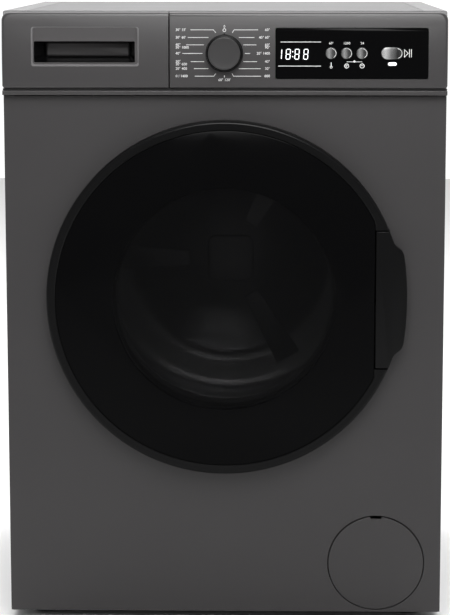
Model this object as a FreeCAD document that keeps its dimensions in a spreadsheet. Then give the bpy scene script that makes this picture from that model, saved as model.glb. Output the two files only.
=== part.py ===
import FreeCAD, Part
import math
import os
import re

import Sketcher

# A front load washing machine, built as an assembly of separate pieces.
# Millimetres, +Z up, front towards -Y. The origin is on the floor, in the middle of the plan.

DIMENSIONS = {
    # Whole machine and its main planes.
    "body_width": 597, "body_height": 845, "front_limit": -278.5, "rear_limit": 278.5,
    "floor_gap": 13, "front_face": -243.5, "rear_face": 262, "wrap_top": 825,
    "sheet_thick": 1.2, "wall_thick": 2.5, "slim_gap": 0.3,
    # Control panel, drawer front and the trim below them.
    "fascia_face": -260.5, "fascia_back": -238.5, "fascia_bottom": 741.7, "fascia_top": 843.5,
    "fascia_round": 4.5, "corner_round": 11, "face_bow": 470, "bow_height": 775,
    "drawer_split": -74, "split_gap": 0.5, "control_height": 789,
    "trim_face": -257, "trim_bottom": 732.5, "trim_top": 738.5, "panel_top": 730.5,
    # Programme knob, display and buttons.
    "knob_radius": 25, "knob_face_radius": 22.8, "knob_front": -278, "knob_shaft_radius": 3,
    "display_left": 68.4, "display_right": 272.1, "display_bottom": 754.9, "display_top": 822.6,
    "button_radius": 7.6, "button_first": 142.6, "button_pitch": 20.65, "button_front": -262,
    "button_back": -252.3, "start_centre": 223.9, "start_width": 29, "start_height": 16,
    "board_front": -250,
    # Detergent drawer.
    "grip_left": -255.4, "grip_right": -119.9, "grip_bottom": 776.3, "grip_top": 804.6,
    "grip_back": -224, "housing_left": -292, "housing_right": -84, "housing_front": -250,
    "housing_back": -18, "housing_bottom": 746, "housing_top": 822, "tray_left": -287,
    "tray_right": -89, "tray_back": -26, "tray_bottom": 751, "tray_top": 812,
    # Door, handle, hinge and latch.
    "axis_height": 458, "door_radius": 241, "door_back": -247, "disc_radius": 228.4,
    "disc_front": -277.5, "disc_back": -273.4, "ring_skin": -270.5, "band_inner": 228.9,
    "ring_inner": 236, "frame_front": -252, "glass_rim": 152, "glass_front": -257,
    "glass_back": -151, "handle_chord": 203, "handle_reach": 246.5, "handle_half": 94,
    "handle_arc": 420, "handle_back": -262, "finger_edge": 214, "finger_half": 70,
    "hinge_x": -232, "hinge_y": -261, "pin_radius": 3, "pin_running_radius": 3.05,
    "pocket_half": 47, "ear_low": 38.5, "ear_high": 45, "hook_x": 208, "hook_pivot_y": -254,
    "hook_tip_y": -222, "opening_radius": 163.8, "collar_back": -234,
    # Pump filter and its cover.
    "filter_x": 209, "filter_z": 83, "cover_radius": 66, "well_radius": 69, "well_back": -213,
    "filter_radius": 22, "filter_bore": 22.4,
    # Tub, drum and drive.
    "tub_radius": 262, "tub_wall": 4, "tub_front": -186, "tub_split": -20, "tub_back": 168,
    "tub_mouth": 168, "drum_radius": 240.2, "drum_wall": 1.4, "drum_front": -172,
    "drum_back": 130, "drum_mouth": 158.5, "shaft_radius": 15, "shaft_running_radius": 15.05,
    "bearing_radius": 31, "pulley_front": 208, "pulley_back": 226, "pulley_radius": 145,
    "motor_x": 120, "motor_z": 150, "motor_radius": 58, "motor_pulley_radius": 10,
    # Suspension.
    "damper_x": 215, "damper_radius": 16, "damper_bore": 12, "damper_top": 150,
    "spring_y": 40, "spring_low": 645, "spring_high": 800, "spring_radius": 14,
    "spring_wire": 2, "spring_turns": 18,
    # Feet, water and mains connections.
    "foot_x": 255, "foot_front": -190, "foot_rear": 225, "foot_radius": 22, "stud_radius": 5,
    "stud_running_radius": 5.05, "inlet_x": -183, "inlet_z": 770, "spigot_radius": 13.2,
    "drain_x": 262, "drain_z": 95, "drain_radius": 11, "drain_bore": 8.6,
    "gland_x": 200, "gland_z": 700, "transit_x": 190, "transit_z": 150, "transit_radius": 9,
    # Worktop.
    "worktop_front": -238, "rail_width": 31.5, "rail_rear": 22, "worktop_gap": 0.6,
}

SIDE = "body_width / 2"
PANEL_BACK = "front_face + sheet_thick"
INNER_SIDE = "body_width / 2 - sheet_thick"
VECTOR = FreeCAD.Vector
ALIAS = re.compile(r"[a-z_]+")
TURNS = {
    "x": FreeCAD.Rotation(VECTOR(0, 1, 0), 90),
    "y": FreeCAD.Rotation(VECTOR(1, 0, 0), -90),
    "z": FreeCAD.Rotation(),
}

doc = FreeCAD.newDocument("washing_machine")
sheet = doc.addObject("Spreadsheet::Sheet", "dims")
for row, (alias, number) in enumerate(DIMENSIONS.items(), start=1):
    sheet.set(f"A{row}", alias)
    sheet.set(f"B{row}", str(number))
    sheet.setAlias(f"B{row}", alias)
doc.recompute()


# ---- Helpers: expressions, primitives and booleans ----

def linked(expression):
    """The expression with each alias of the sheet written as dims.alias."""
    return ALIAS.sub(lambda word: f"dims.{word[0]}" if word[0] in DIMENSIONS else word[0], str(expression))


def value(expression):
    return float(sheet.evalExpression(str(expression)))


def bind(thing, **sizes):
    for name, expression in sizes.items():
        thing.setExpression(name.replace("__", "."), linked(expression))


def block(name, x, y, z):
    """A box between the low and high expressions given for each axis."""
    box = doc.addObject("Part::Box", name)
    bind(box, Length=f"({x[1]}) - ({x[0]})", Width=f"({y[1]}) - ({y[0]})", Height=f"({z[1]}) - ({z[0]})")
    bind(box, Placement__Base__x=x[0], Placement__Base__y=y[0], Placement__Base__z=z[0])
    return box


def rod(name, axis, span, place, radius):
    """A cylinder along an axis, over a span of it, at a place given by the other two coordinates."""
    cylinder = doc.addObject("Part::Cylinder", name)
    cylinder.Placement = FreeCAD.Placement(VECTOR(), TURNS[axis])
    bind(cylinder, Radius=radius, Height=f"({span[1]}) - ({span[0]})")
    first, second = place
    low = {"x": (span[0], first, second), "y": (first, span[0], second), "z": (first, second, span[0])}[axis]
    bind(cylinder, Placement__Base__x=low[0], Placement__Base__y=low[1], Placement__Base__z=low[2])
    return cylinder


def joined(name, *pieces):
    fusion = doc.addObject("Part::MultiFuse", name)
    fusion.Shapes = list(pieces)
    return fusion


def less(name, base, *tools):
    cut = doc.addObject("Part::Cut", name)
    cut.Base = base
    cut.Tool = tools[0] if len(tools) == 1 else joined(name + "_tools", *tools)
    return cut


def shared(name, *pieces):
    common = doc.addObject("Part::MultiCommon", name)
    common.Shapes = list(pieces)
    return common


def grouped(name, pieces):
    compound = doc.addObject("Part::Compound", name)
    compound.Links = list(pieces)
    return compound


def tube(name, axis, span, place, outer, inner):
    """A pipe with open ends."""
    bore_span = (f"({span[0]}) - 1", f"({span[1]}) + 1")
    solid = rod(name + "_outer", axis, span, place, outer)
    bore = rod(name + "_bore", axis, bore_span, place, inner)
    return less(name, solid, bore)


def edges_at(shape, **where):
    """Numbers of the edges that lie wholly at the given x, y or z."""
    numbers = []
    for number, edge in enumerate(shape.Edges, start=1):
        box = edge.BoundBox
        ends = [(getattr(box, axis.upper() + "Min"), getattr(box, axis.upper() + "Max"), value(at))
                for axis, at in where.items()]
        if all(abs(low - at) < 0.01 and abs(high - at) < 0.01 for low, high, at in ends):
            numbers.append(number)
    return numbers


def rounded(name, base, radius, *places):
    """The base with a fillet on the edges at each place."""
    doc.recompute()
    fillet = doc.addObject("Part::Fillet", name)
    fillet.Base = base
    size = value(radius)
    fillet.Edges = [(number, size, size) for where in places for number in edges_at(base.Shape, **where)]
    return fillet


# ---- Helpers: bodies made from sketches ----

def new_body(name):
    return doc.addObject("PartDesign::Body", name)


def pin_point(sketch, index, end, u, v):
    """Fixes a point of the sketch at u, v from its origin."""
    for kind, expression in (("DistanceX", u), ("DistanceY", v)):
        rule = sketch.addConstraint(Sketcher.Constraint(kind, -1, 1, index, end, value(expression)))
        label = f"{kind.lower()}_{index}_{end}"
        sketch.renameConstraint(rule, label)
        sketch.setExpression("Constraints." + label, linked(expression))


def draw_polygon(sketch, points):
    first = sketch.GeometryCount
    count = len(points)
    corners = [VECTOR(value(u), value(v), 0) for u, v in points]
    for index, corner in enumerate(corners):
        sketch.addGeometry(Part.LineSegment(corner, corners[(index + 1) % count]))
    for index in range(count):
        following = first + (index + 1) % count
        sketch.addConstraint(Sketcher.Constraint("Coincident", first + index, 2, following, 1))
    for index, (u, v) in enumerate(points):
        pin_point(sketch, first + index, 1, u, v)


def draw_circle(sketch, u, v, radius):
    centre = VECTOR(value(u), value(v), 0)
    index = sketch.addGeometry(Part.Circle(centre, VECTOR(0, 0, 1), value(radius)))
    pin_point(sketch, index, 3, u, v)
    rule = sketch.addConstraint(Sketcher.Constraint("Radius", index, value(radius)))
    sketch.renameConstraint(rule, f"radius_{index}")
    sketch.setExpression(f"Constraints.radius_{index}", linked(radius))


def new_sketch(body, name, role, shift, loops):
    """A sketch on an origin plane of its body. A loop is a list of points or a circle (u, v, radius)."""
    sketch = body.newObject("Sketcher::SketchObject", name)
    plane = next(feature for feature in body.Origin.OriginFeatures if feature.Role == role)
    sketch.AttachmentSupport = [(plane, "")]
    sketch.MapMode = "FlatFace"
    for axis, expression in zip("xyz", shift):
        sketch.setExpression(f"AttachmentOffset.Base.{axis}", linked(expression))
    for loop in loops:
        if isinstance(loop, tuple):
            draw_circle(sketch, *loop)
        else:
            draw_polygon(sketch, loop)
    return sketch


def pad(body, name, role, shift, loops, length):
    """A pad of the loops: towards -Y from the XZ plane, +Z from XY and +X from YZ."""
    feature = body.newObject("PartDesign::Pad", name)
    feature.Profile = new_sketch(body, name + "_sketch", role, shift, loops)
    bind(feature, Length=length)
    return feature


def pocket(body, name, role, shift, loops, length):
    """A pocket cut both ways from its sketch, checked to take something away."""
    doc.recompute()
    before = body.Shape.Volume
    feature = body.newObject("PartDesign::Pocket", name)
    feature.Profile = new_sketch(body, name + "_sketch", role, shift, loops)
    bind(feature, Length=length)
    feature.Midplane = True
    doc.recompute()
    if body.Shape.Volume >= before - 0.1:
        raise RuntimeError(name + " cuts nothing")
    return feature


def soften(body, name, radius, *places):
    doc.recompute()
    base = body.Tip
    feature = body.newObject("PartDesign::Fillet", name)
    numbers = [number for where in places for number in edges_at(body.Shape, **where)]
    feature.Base = (base, [f"Edge{number}" for number in numbers])
    bind(feature, Radius=radius)
    doc.recompute()
    return feature


def turned(name, profile, x="0", z="axis_height"):
    """A body turned about the line along Y through x, z. Profile points are (y, radius)."""
    body = new_body(name)
    feature = body.newObject("PartDesign::Revolution", name + "_turn")
    feature.Profile = new_sketch(body, name + "_sketch", "YZ_Plane", ("0", z, x), [profile])
    feature.ReferenceAxis = (feature.Profile[0], ["H_Axis"])
    feature.Angle = 360
    return body


def turned_upright(name, profile, x, y):
    """A body turned about the vertical line through x, y. Profile points are (radius, z)."""
    body = new_body(name)
    feature = body.newObject("PartDesign::Revolution", name + "_turn")
    feature.Profile = new_sketch(body, name + "_sketch", "XZ_Plane", (x, "0", f"-({y})"), [profile])
    feature.ReferenceAxis = (feature.Profile[0], ["V_Axis"])
    feature.Angle = 360
    return body


def around_axis(half):
    """Heights from half below to half above the drum axis."""
    return (f"axis_height - {half}", f"axis_height + {half}")


def rectangle(x, z):
    return [(x[0], z[0]), (x[1], z[0]), (x[1], z[1]), (x[0], z[1])]


def mirrored_span(low, high, sign):
    """The span from low to high on the side of x = 0 that the sign gives."""
    return (low, high) if sign > 0 else (f"-({high})", f"-({low})")


# ---- Cabinet ----

def cabinet_wrap():
    """One sheet bent round both sides and the back, with front flanges and spring hangers."""
    body = new_body("cabinet_wrap_sheet")
    flange = "body_width / 2 - 14"
    back_inner = "rear_face - sheet_thick"
    flange_back = "front_face + 2 * sheet_thick"
    right = [(SIDE, PANEL_BACK), (flange, PANEL_BACK), (flange, flange_back), (INNER_SIDE, flange_back),
             (INNER_SIDE, back_inner)]
    left = [(f"-({x})", y) for x, y in reversed(right)]
    outline = [(SIDE, "rear_face")] + right + left + [(f"-{SIDE}", "rear_face")]
    pad(body, "wrap_pad", "XY_Plane", ("0", "0", "floor_gap"), [outline], "wrap_top - floor_gap")
    soften(body, "wrap_corners", "1.5", {"x": SIDE, "y": "rear_face"}, {"x": f"-{SIDE}", "y": "rear_face"})
    hangers = []
    for side, sign in (("right", 1), ("left", -1)):
        reach = mirrored_span("damper_x - 12", INNER_SIDE, sign)
        hangers.append(block(f"hanger_{side}", reach, ("spring_y - 12", "spring_y + 12"),
                             ("spring_high", "spring_high + 5")))
    through = ("rear_face - 5", "rear_face + 5")
    holes = [block("service_hole", ("-150", "150"), through, ("262", "628"))]
    for side in (-1, 1):
        for level in (-1, 1):
            place = (f"{side} * transit_x", f"axis_height + {level} * transit_z")
            holes.append(rod(f"transit_hole_{side + 2}{level + 2}", "y", through, place, "transit_radius"))
    holes.append(rod("inlet_hole", "y", through, ("inlet_x", "inlet_z"), "spigot_radius + 1"))
    holes.append(rod("drain_hole", "y", through, ("drain_x", "drain_z"), "drain_radius + 0.5"))
    holes.append(rod("gland_hole", "y", through, ("gland_x", "gland_z"), "8"))
    panel_room = block("panel_room", (f"-{SIDE} - 1", f"{SIDE} + 1"),
                       ("front_face - 1", "fascia_back + slim_gap"),
                       ("fascia_bottom - 1", "wrap_top + 1"))
    return less("cabinet_wrap", joined("wrap_with_hangers", body, *hangers), panel_room, *holes)


def front_panel():
    """Flat front sheet with a rolled collar round the door opening."""
    body = new_body("front_panel")
    outline = rectangle((f"-{SIDE}", SIDE), ("floor_gap", "panel_top"))
    ear_slots = [rectangle(("hinge_x - 6", "hinge_x + 6"), (f"axis_height + {low}", f"axis_height + {high}"))
                 for low, high in (("ear_low - 1", "ear_high + 1"), ("(-ear_high) - 1", "(-ear_low) + 1"))]
    hook_slot = rectangle(("hook_x - 10", "hook_x + 10"), around_axis("12"))
    loops = [outline, ("0", "axis_height", "opening_radius"), ("filter_x", "filter_z", "cover_radius + 1.5"),
             hook_slot] + ear_slots
    pad(body, "panel_sheet", "XZ_Plane", ("0", "0", f"-({PANEL_BACK})"), loops, "sheet_thick")
    collar = [("0", "axis_height", "opening_radius + sheet_thick"), ("0", "axis_height", "opening_radius")]
    pad(body, "panel_collar", "XZ_Plane", ("0", "0", "-collar_back"), collar, f"collar_back - ({PANEL_BACK})")
    soften(body, "panel_corners", "4", {"x": SIDE, "z": "floor_gap"}, {"x": f"-{SIDE}", "z": "floor_gap"})
    return body


def rear_cover():
    """Pressed service cover over the drive belt."""
    flange = block("cover_flange", ("-166", "166"), ("rear_face", "rear_face + sheet_thick"), ("246", "644"))
    dome = block("cover_dome", ("-152", "152"), ("rear_face", "rear_face + 9"), ("260", "630"))
    solid = joined("cover_solid", flange, rounded("cover_dome_round", dome, "6", {"y": "rear_face + 9"}))
    hollow = block("cover_hollow", ("-148", "148"), ("rear_face - 1", "rear_face + 7.5"), ("264", "626"))
    return less("rear_cover", solid, hollow)


def worktop_frame():
    """Plastic rails at both sides and the back that carry the worktop on a ledge."""
    body = new_body("worktop_frame")

    def rails(inset, rear):
        left, right, back = f"-({SIDE} - {inset})", f"{SIDE} - {inset}", f"rear_face - {rear}"
        return [(f"-{SIDE}", "worktop_front"), (left, "worktop_front"), (left, back), (right, back),
                (right, "worktop_front"), (SIDE, "worktop_front"), (SIDE, "rear_face"),
                (f"-{SIDE}", "rear_face")]

    pad(body, "rails", "XY_Plane", ("0", "0", "wrap_top"), [rails("rail_width", "rail_rear")],
        "body_height - wrap_top")
    pad(body, "ledge", "XY_Plane", ("0", "0", "wrap_top"), [rails("(rail_width + 10)", "(rail_rear + 10)")],
        "2")
    soften(body, "rail_edges", "3", {"x": SIDE, "z": "body_height"}, {"x": f"-{SIDE}", "z": "body_height"},
           {"y": "rear_face", "z": "body_height"})
    return body


def worktop():
    edge = f"{SIDE} - rail_width - worktop_gap"
    board = block("worktop_board", (f"-({edge})", edge),
                  ("worktop_front", "rear_face - rail_rear - worktop_gap"),
                  ("wrap_top + 2", "body_height"))
    return rounded("worktop", board, "0.8", {"z": "body_height"})


def base_pan():
    """Bottom pan with a rim, foot bosses and damper seats."""
    span_x = (f"-({INNER_SIDE})", INNER_SIDE)
    span_y = ("-208", "rear_face - sheet_thick")
    plate = block("pan_plate", span_x, span_y, ("floor_gap", "floor_gap + wall_thick"))
    outer = block("pan_rim_outer", span_x, span_y, ("floor_gap", "40"))
    inner = block("pan_rim_inner", (f"-({INNER_SIDE} - wall_thick)", f"{INNER_SIDE} - wall_thick"),
                  ("-208 + wall_thick", "rear_face - sheet_thick - wall_thick"), ("floor_gap - 1", "41"))
    bosses, holes = [], []
    for name, x, y in foot_places():
        bosses.append(rod(f"boss_{name}", "z", ("floor_gap", "34"), (x, y), "14"))
        holes.append(rod(f"foot_hole_{name}", "z", ("floor_gap - 1", "50"), (x, y), "stud_running_radius"))
    return less("base_pan", joined("pan_solid", plate, less("pan_rim", outer, inner), *bosses), *holes)


def foot_places():
    return [("front_left", "-foot_x", "foot_front"), ("front_right", "foot_x", "foot_front"),
            ("rear_left", "-foot_x", "foot_rear"), ("rear_right", "foot_x", "foot_rear")]


def levelling_foot(name, x, y):
    profile = [("0", "0"), ("foot_radius - 2", "0"), ("foot_radius", "2"), ("foot_radius", "6"), ("13", "9"),
               ("stud_radius", "9"), ("stud_radius", "50"), ("0", "50")]
    return turned_upright(f"foot_{name}", profile, x, y)


def cabinet_screws():
    """Hexagon-washer heads round the rear cover."""
    heads = []
    for column in ("-159", "159"):
        for level in (255, 345, 445, 545, 635):
            span = ("rear_face + sheet_thick", "rear_face + sheet_thick + 2.6")
            heads.append(rod(f"screw_{len(heads)}", "y", span, (column, str(level)), "4.2"))
    return grouped("cabinet_screws", heads)


# ---- Control panel ----

def bowed(name, base, skin):
    """The base cut to the control panel's bowed face, at a depth under its skin."""
    centre = ("fascia_face + face_bow", "bow_height")
    return shared(name, base,
                  rod(name + "_bow", "x", (f"-{SIDE} - 1", f"{SIDE} + 1"), centre, f"face_bow - ({skin})"))


def bowed_front(level):
    """Depth of the bowed face at a level."""
    rise = f"({level} - bow_height)"
    return f"fascia_face + face_bow - sqrt(face_bow * face_bow - {rise} * {rise})"


def panel_block(name, x, y, z, corner, side):
    """A block with its outer top corner rounded."""
    blank = block(name + "_blank", x, y, z)
    return rounded(name, blank, corner, {"x": side, "z": z[1]})


def panel_shell(name, left, right, outward):
    """A moulded shell, open at the back, with a bowed face, soft edges and one round top corner."""
    outer_side = left if outward < 0 else right
    outer = panel_block(name + "_outer", (left, right), ("fascia_face - 1", "fascia_back"),
                        ("fascia_bottom", "fascia_top"), "corner_round", outer_side)
    faced = bowed(name + "_faced", outer, "0")
    solid = rounded(name + "_round", faced, "fascia_round",
                    {"y": bowed_front("fascia_top"), "z": "fascia_top"})
    inner = panel_block(name + "_inner", (f"{left} + wall_thick", f"{right} - wall_thick"),
                        ("fascia_face + wall_thick - 1", "fascia_back + 1"),
                        ("fascia_bottom + wall_thick", "fascia_top - wall_thick"),
                        "corner_round - wall_thick", f"{outer_side} - ({outward} * wall_thick)")
    return less(name, solid, bowed(name + "_hollow", inner, "wall_thick + 0.8"))


def control_fascia():
    shell = panel_shell("fascia_shell", "drawer_split + split_gap", SIDE, 1)
    through = ("fascia_face - 2", "fascia_face + 7")
    window = block("window_hole", ("display_left - slim_gap", "display_right + slim_gap"), through,
                   ("display_bottom - slim_gap", "display_top + slim_gap"))
    shaft = rod("shaft_hole", "y", through, ("0", "control_height"), "knob_shaft_radius + 1")
    return less("control_fascia", shell, window, shaft)


def lower_trim():
    body = new_body("lower_trim")
    web_top = "fascia_bottom - 0.5"
    outline = [("trim_face", "trim_bottom"), ("trim_face", "trim_top"), ("trim_face + 6", "trim_top"),
               ("trim_face + 6", web_top), (PANEL_BACK, web_top), (PANEL_BACK, "trim_bottom")]
    pad(body, "trim_pad", "YZ_Plane", ("0", "0", f"-{SIDE}"), [outline], "body_width")
    soften(body, "trim_edges", "1", {"y": "trim_face", "z": "trim_bottom"},
           {"y": "trim_face", "z": "trim_top"})
    return body


def start_span(grow):
    half_w, half_h = f"(start_width / 2 + {grow})", f"(start_height / 2 + {grow})"
    return ((f"start_centre - {half_w}", f"start_centre + {half_w}"),
            (f"control_height - {half_h}", f"control_height + {half_h}"))


def pill(name, grow, y):
    """The start button's outline between two depths."""
    x, z = start_span(grow)
    solid = block(name + "_block", x, y, z)
    corners = [{"x": across, "z": level} for across in x for level in z]
    return rounded(name, solid, f"start_height / 2 + {grow} - 0.1", *corners)


def display_window():
    depth = ("fascia_face - slim_gap - 1", "fascia_face + 5")
    x, z = ("display_left", "display_right"), ("display_bottom", "display_top")
    blank = rounded("window_blank", block("window_block", x, depth, z), "2",
                    *[{"x": across, "z": level} for across in x for level in z])
    plate = bowed("window_plate", blank, "-slim_gap")
    through = ("fascia_face - 3", "fascia_face + 7")
    holes = [rod(f"button_hole_{index}", "y", through,
                 (f"button_first + {index} * button_pitch", "control_height"),
                 "button_radius + slim_gap") for index in range(3)]
    return less("display_window", plate, pill("start_hole", "slim_gap", through), *holes)


def control_board():
    """Circuit board with the knob's encoder and the larger components on its back."""
    board = block("board_plate", ("-40", "285"), ("board_front", "board_front + 1.6"), ("752", "828"))
    encoder = block("encoder", ("-12", "12"), ("board_front", "board_front + 12"),
                    ("control_height - 12", "control_height + 12"))
    transformer = block("transformer", ("90", "130"), ("board_front + 1.6", "board_front + 30"),
                        ("765", "800"))
    relays = block("relays", ("150", "210"), ("board_front + 1.6", "board_front + 20"), ("765", "782"))
    solid = joined("board_solid", board, encoder, transformer, relays)
    socket = rod("encoder_socket", "y", ("board_front - 1", "board_front + 8"), ("0", "control_height"),
                 "knob_shaft_radius + 0.5")
    return less("control_board", solid, socket)


def programme_knob():
    profile = [("board_front + 5", "0"), ("board_front + 5", "knob_shaft_radius"),
               ("fascia_face - 0.7", "knob_shaft_radius"), ("fascia_face - 0.7", "knob_radius"),
               ("fascia_face - 4", "knob_radius"), ("fascia_face - 5", "knob_face_radius + 1"),
               ("knob_front + 1.5", "knob_face_radius"), ("knob_front", "knob_face_radius - 1.5"),
               ("knob_front", "0")]
    body = turned("knob_body", profile, z="control_height")
    notch = block("knob_notch", ("-1", "1"), ("knob_front - 1", "knob_front + 1"),
                  ("control_height + knob_face_radius - 6", "control_height + knob_radius"))
    return less("programme_knob", body, notch)


def round_button(name, index):
    place = (f"button_first + {index} * button_pitch", "control_height")
    blank = rod(name + "_blank", "y", ("button_front", "button_back"), place, "button_radius")
    return rounded(name, blank, "0.6", {"y": "button_front"})


def start_button():
    return pill("start_button", "0", ("button_front", "button_back"))


# ---- Detergent drawer ----

def drawer_front():
    """The left part of the control panel, with a finger recess behind a hanging lip."""
    shell = panel_shell("drawer_shell", f"-{SIDE}", "drawer_split - split_gap", -1)
    cup_blank = block("grip_cup_blank", ("grip_left - wall_thick", "grip_right + wall_thick"),
                      ("fascia_face - 1", "grip_back + 2"), ("grip_bottom - wall_thick", "818"))
    cup = bowed("grip_cup", cup_blank, "1")
    opening = block("grip_opening", ("grip_left", "grip_right"), ("fascia_face - 1", "grip_back"),
                    ("grip_bottom", "grip_top"))
    behind_lip = block("grip_behind_lip", ("grip_left", "grip_right"), ("fascia_face + 4", "grip_back"),
                       ("grip_bottom", "818 - wall_thick"))
    return less("drawer_front", joined("drawer_front_solid", shell, cup), opening, behind_lip)


def drawer_tray():
    """Three open compartments: main wash, softener and prewash."""
    front = "grip_back + 2"
    solid = block("tray_solid", ("tray_left", "tray_right"), (front, "tray_back"),
                  ("tray_bottom", "tray_top"))
    walls = ["tray_left", "tray_left + 86", "tray_left + 141", "tray_right"]
    cavities = [block(f"compartment_{index}", (f"{low} + 2", f"{high} - 2") if index != 1 else (low, high),
                      (f"{front} + 3", "tray_back - 2"), ("tray_bottom + 3", "tray_top + 1"))
                for index, (low, high) in enumerate(zip(walls, walls[1:]))]
    return less("drawer_tray", solid, *cavities)


def siphon_cap():
    """Lift-out cap over the softener compartment's siphon."""
    plate = block("cap_plate", ("tray_left + 86.3", "tray_left + 140.7"), ("-100", "-30"), ("800", "803"))
    pipe = rod("cap_pipe", "z", ("tray_bottom + 3.3", "801"), ("tray_left + 113", "-62"), "9")
    bore = rod("cap_bore", "z", ("tray_bottom", "795"), ("tray_left + 113", "-62"), "6.5")
    return less("siphon_cap", joined("cap_solid", plate, pipe), bore)


def dispenser_housing():
    outer = block("housing_outer", ("housing_left", "housing_right"), ("housing_front", "housing_back"),
                  ("housing_bottom", "housing_top"))
    spout = rod("housing_spout", "z", ("730", "housing_bottom + 1"), ("-150", "-60"), "16")
    inner = block("housing_inner", ("housing_left + 2", "housing_right - 2"),
                  ("housing_front - 1", "housing_back - 2"), ("housing_bottom + 2", "housing_top - 2"))
    drain = rod("housing_drain", "z", ("729", "housing_bottom + 5"), ("-150", "-60"), "13")
    return less("dispenser_housing", joined("housing_solid", outer, spout), inner, drain)


# ---- Door ----

def hinge_pocket():
    return block("hinge_pocket", ("hinge_x - 14", "hinge_x + 16"), ("door_back - 25.5", "door_back + 2"),
                 around_axis("pocket_half"))


def door_ring():
    """Outer door ring with a seat for the disc, a pocket for the hinge and a well for the handle."""
    profile = [("door_back", "ring_inner"), ("door_back", "door_radius"), ("front_limit", "door_radius"),
               ("front_limit", "band_inner"), ("disc_back", "band_inner"), ("disc_back", "band_inner - 7"),
               ("ring_skin", "band_inner - 7"), ("ring_skin", "ring_inner")]
    body = turned("ring_body", profile)
    doc.recompute()
    rim = [number for number in edges_at(body.Shape, y="front_limit")
           if body.Shape.Edges[number - 1].Curve.Radius > value("door_radius") - 1]
    fillet = body.newObject("PartDesign::Fillet", "ring_edge")
    fillet.Base = (doc.getObject("ring_body_turn"), [f"Edge{number}" for number in rim])
    bind(fillet, Radius="6")
    grip_base = block("grip_base", ("handle_chord", "finger_edge + 10"), ("handle_back", "frame_front - 0.2"),
                      around_axis("handle_half"))
    handle_well = block("handle_well", ("handle_chord - 0.5", "250"), ("front_limit - 1", "handle_back"),
                        around_axis("(handle_half + 0.5)"))
    finger_well = block("finger_well", ("finger_edge", "250"), ("handle_back - 1", "door_back + 1"),
                        around_axis("finger_half"))
    hook_well = block("hook_well", ("hook_x - 8", "hook_x + 4"), ("handle_back - 1", "door_back + 1"),
                      around_axis("9"))
    return less("door_ring", joined("ring_solid", body, grip_base), handle_well, finger_well, hook_well,
                hinge_pocket())


def door_disc():
    """Smoked disc with a straight edge beside the handle."""
    depth = ("disc_front", "disc_back")
    circle = rod("disc_circle", "y", depth, ("0", "axis_height"), "disc_radius")
    square = block("disc_square", ("-disc_radius - 1", "handle_chord - 0.5"), depth,
                   around_axis("(disc_radius + 1)"))
    return shared("door_disc", circle, square)


def door_inner_frame():
    profile = [("door_back", "148"), ("door_back", "ring_inner - slim_gap"),
               ("frame_front", "ring_inner - slim_gap"), ("frame_front", "157"), ("-262", "157"),
               ("-262", "glass_rim + 1"), ("-250.8", "glass_rim + 1"), ("-250.8", "148")]
    body = turned("inner_frame_body", profile)
    finger_well = block("frame_finger_well", ("finger_edge", "250"), ("frame_front - 1", "door_back + 1"),
                        around_axis("finger_half"))
    hook_well = block("frame_hook_well", ("hook_x - 8", "hook_x + 8"), ("frame_front - 1", "door_back + 1"),
                      around_axis("9"))
    pocket_block = block("frame_hinge_pocket", ("-250", "hinge_x + 12"), ("frame_front - 1", "door_back + 1"),
                         around_axis("pocket_half"))
    return less("door_inner_frame", body, finger_well, hook_well, pocket_block)


def door_glass():
    """Glass bowl that reaches into the drum's mouth."""
    profile = [("glass_front", "glass_rim - 11"), ("glass_front", "glass_rim"), ("-251", "glass_rim"),
               ("-251", "147"), ("-176", "127"), ("-158", "104"), ("glass_back", "0"),
               ("glass_back - 6", "0"), ("-163.5", "100"), ("-181", "121.5")]
    return turned("door_glass", profile)


def door_handle():
    """Pull lever beside the disc. Its outline follows the ring and steps out in the middle."""
    depth = ("front_limit", "handle_back - slim_gap")
    slab = block("handle_slab", ("handle_chord", "250"), depth, around_axis("handle_half"))
    ring_disc = rod("handle_ring_disc", "y", depth, ("0", "axis_height"), "door_radius")
    bulge = rod("handle_bulge", "y", depth, ("handle_reach - handle_arc", "axis_height"), "handle_arc")
    grip = new_body("handle_grip")
    upper = [("handle_chord", "84"), ("225.2", "84"), ("243", "60.5"), ("250", "60.5")]
    lower = [(x, f"axis_height - {z}") for x, z in reversed(upper)]
    outline = [(x, f"axis_height + {z}") for x, z in upper] + lower
    pad(grip, "grip_pad", "XZ_Plane", ("0", "0", "-(handle_back - slim_gap)"), [outline],
        "handle_back - slim_gap - front_limit")
    swell = shared("handle_swell", bulge, grip)
    blank = joined("handle_blank", shared("handle_strip", slab, ring_disc), swell)
    scoop = block("handle_scoop", ("216", "238"), ("front_limit + 6", "handle_back + 1"), around_axis("60"))
    return less("door_handle", blank, scoop)


def latch_hook():
    body = new_body("latch_hook")
    outline = [("hook_x - 2", "hook_pivot_y - 4"), ("hook_x + 2", "hook_pivot_y - 4"),
               ("hook_x + 2", "hook_tip_y"), ("hook_x - 6", "hook_tip_y"), ("hook_x - 6", "hook_tip_y - 3"),
               ("hook_x - 2", "hook_tip_y - 6")]
    pad(body, "hook_pad", "XY_Plane", ("0", "0", "axis_height - 6"), [outline], "12")
    return body


def door_lock():
    solid = block("lock_block", ("hook_x - 23", "hook_x + 27"), (PANEL_BACK, "-212"), around_axis("40"))
    slot = block("lock_slot", ("hook_x - 11", "hook_x + 11"), (f"{PANEL_BACK} - 1", "-215"),
                 around_axis("13"))
    return less("door_lock", solid, slot)


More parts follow.
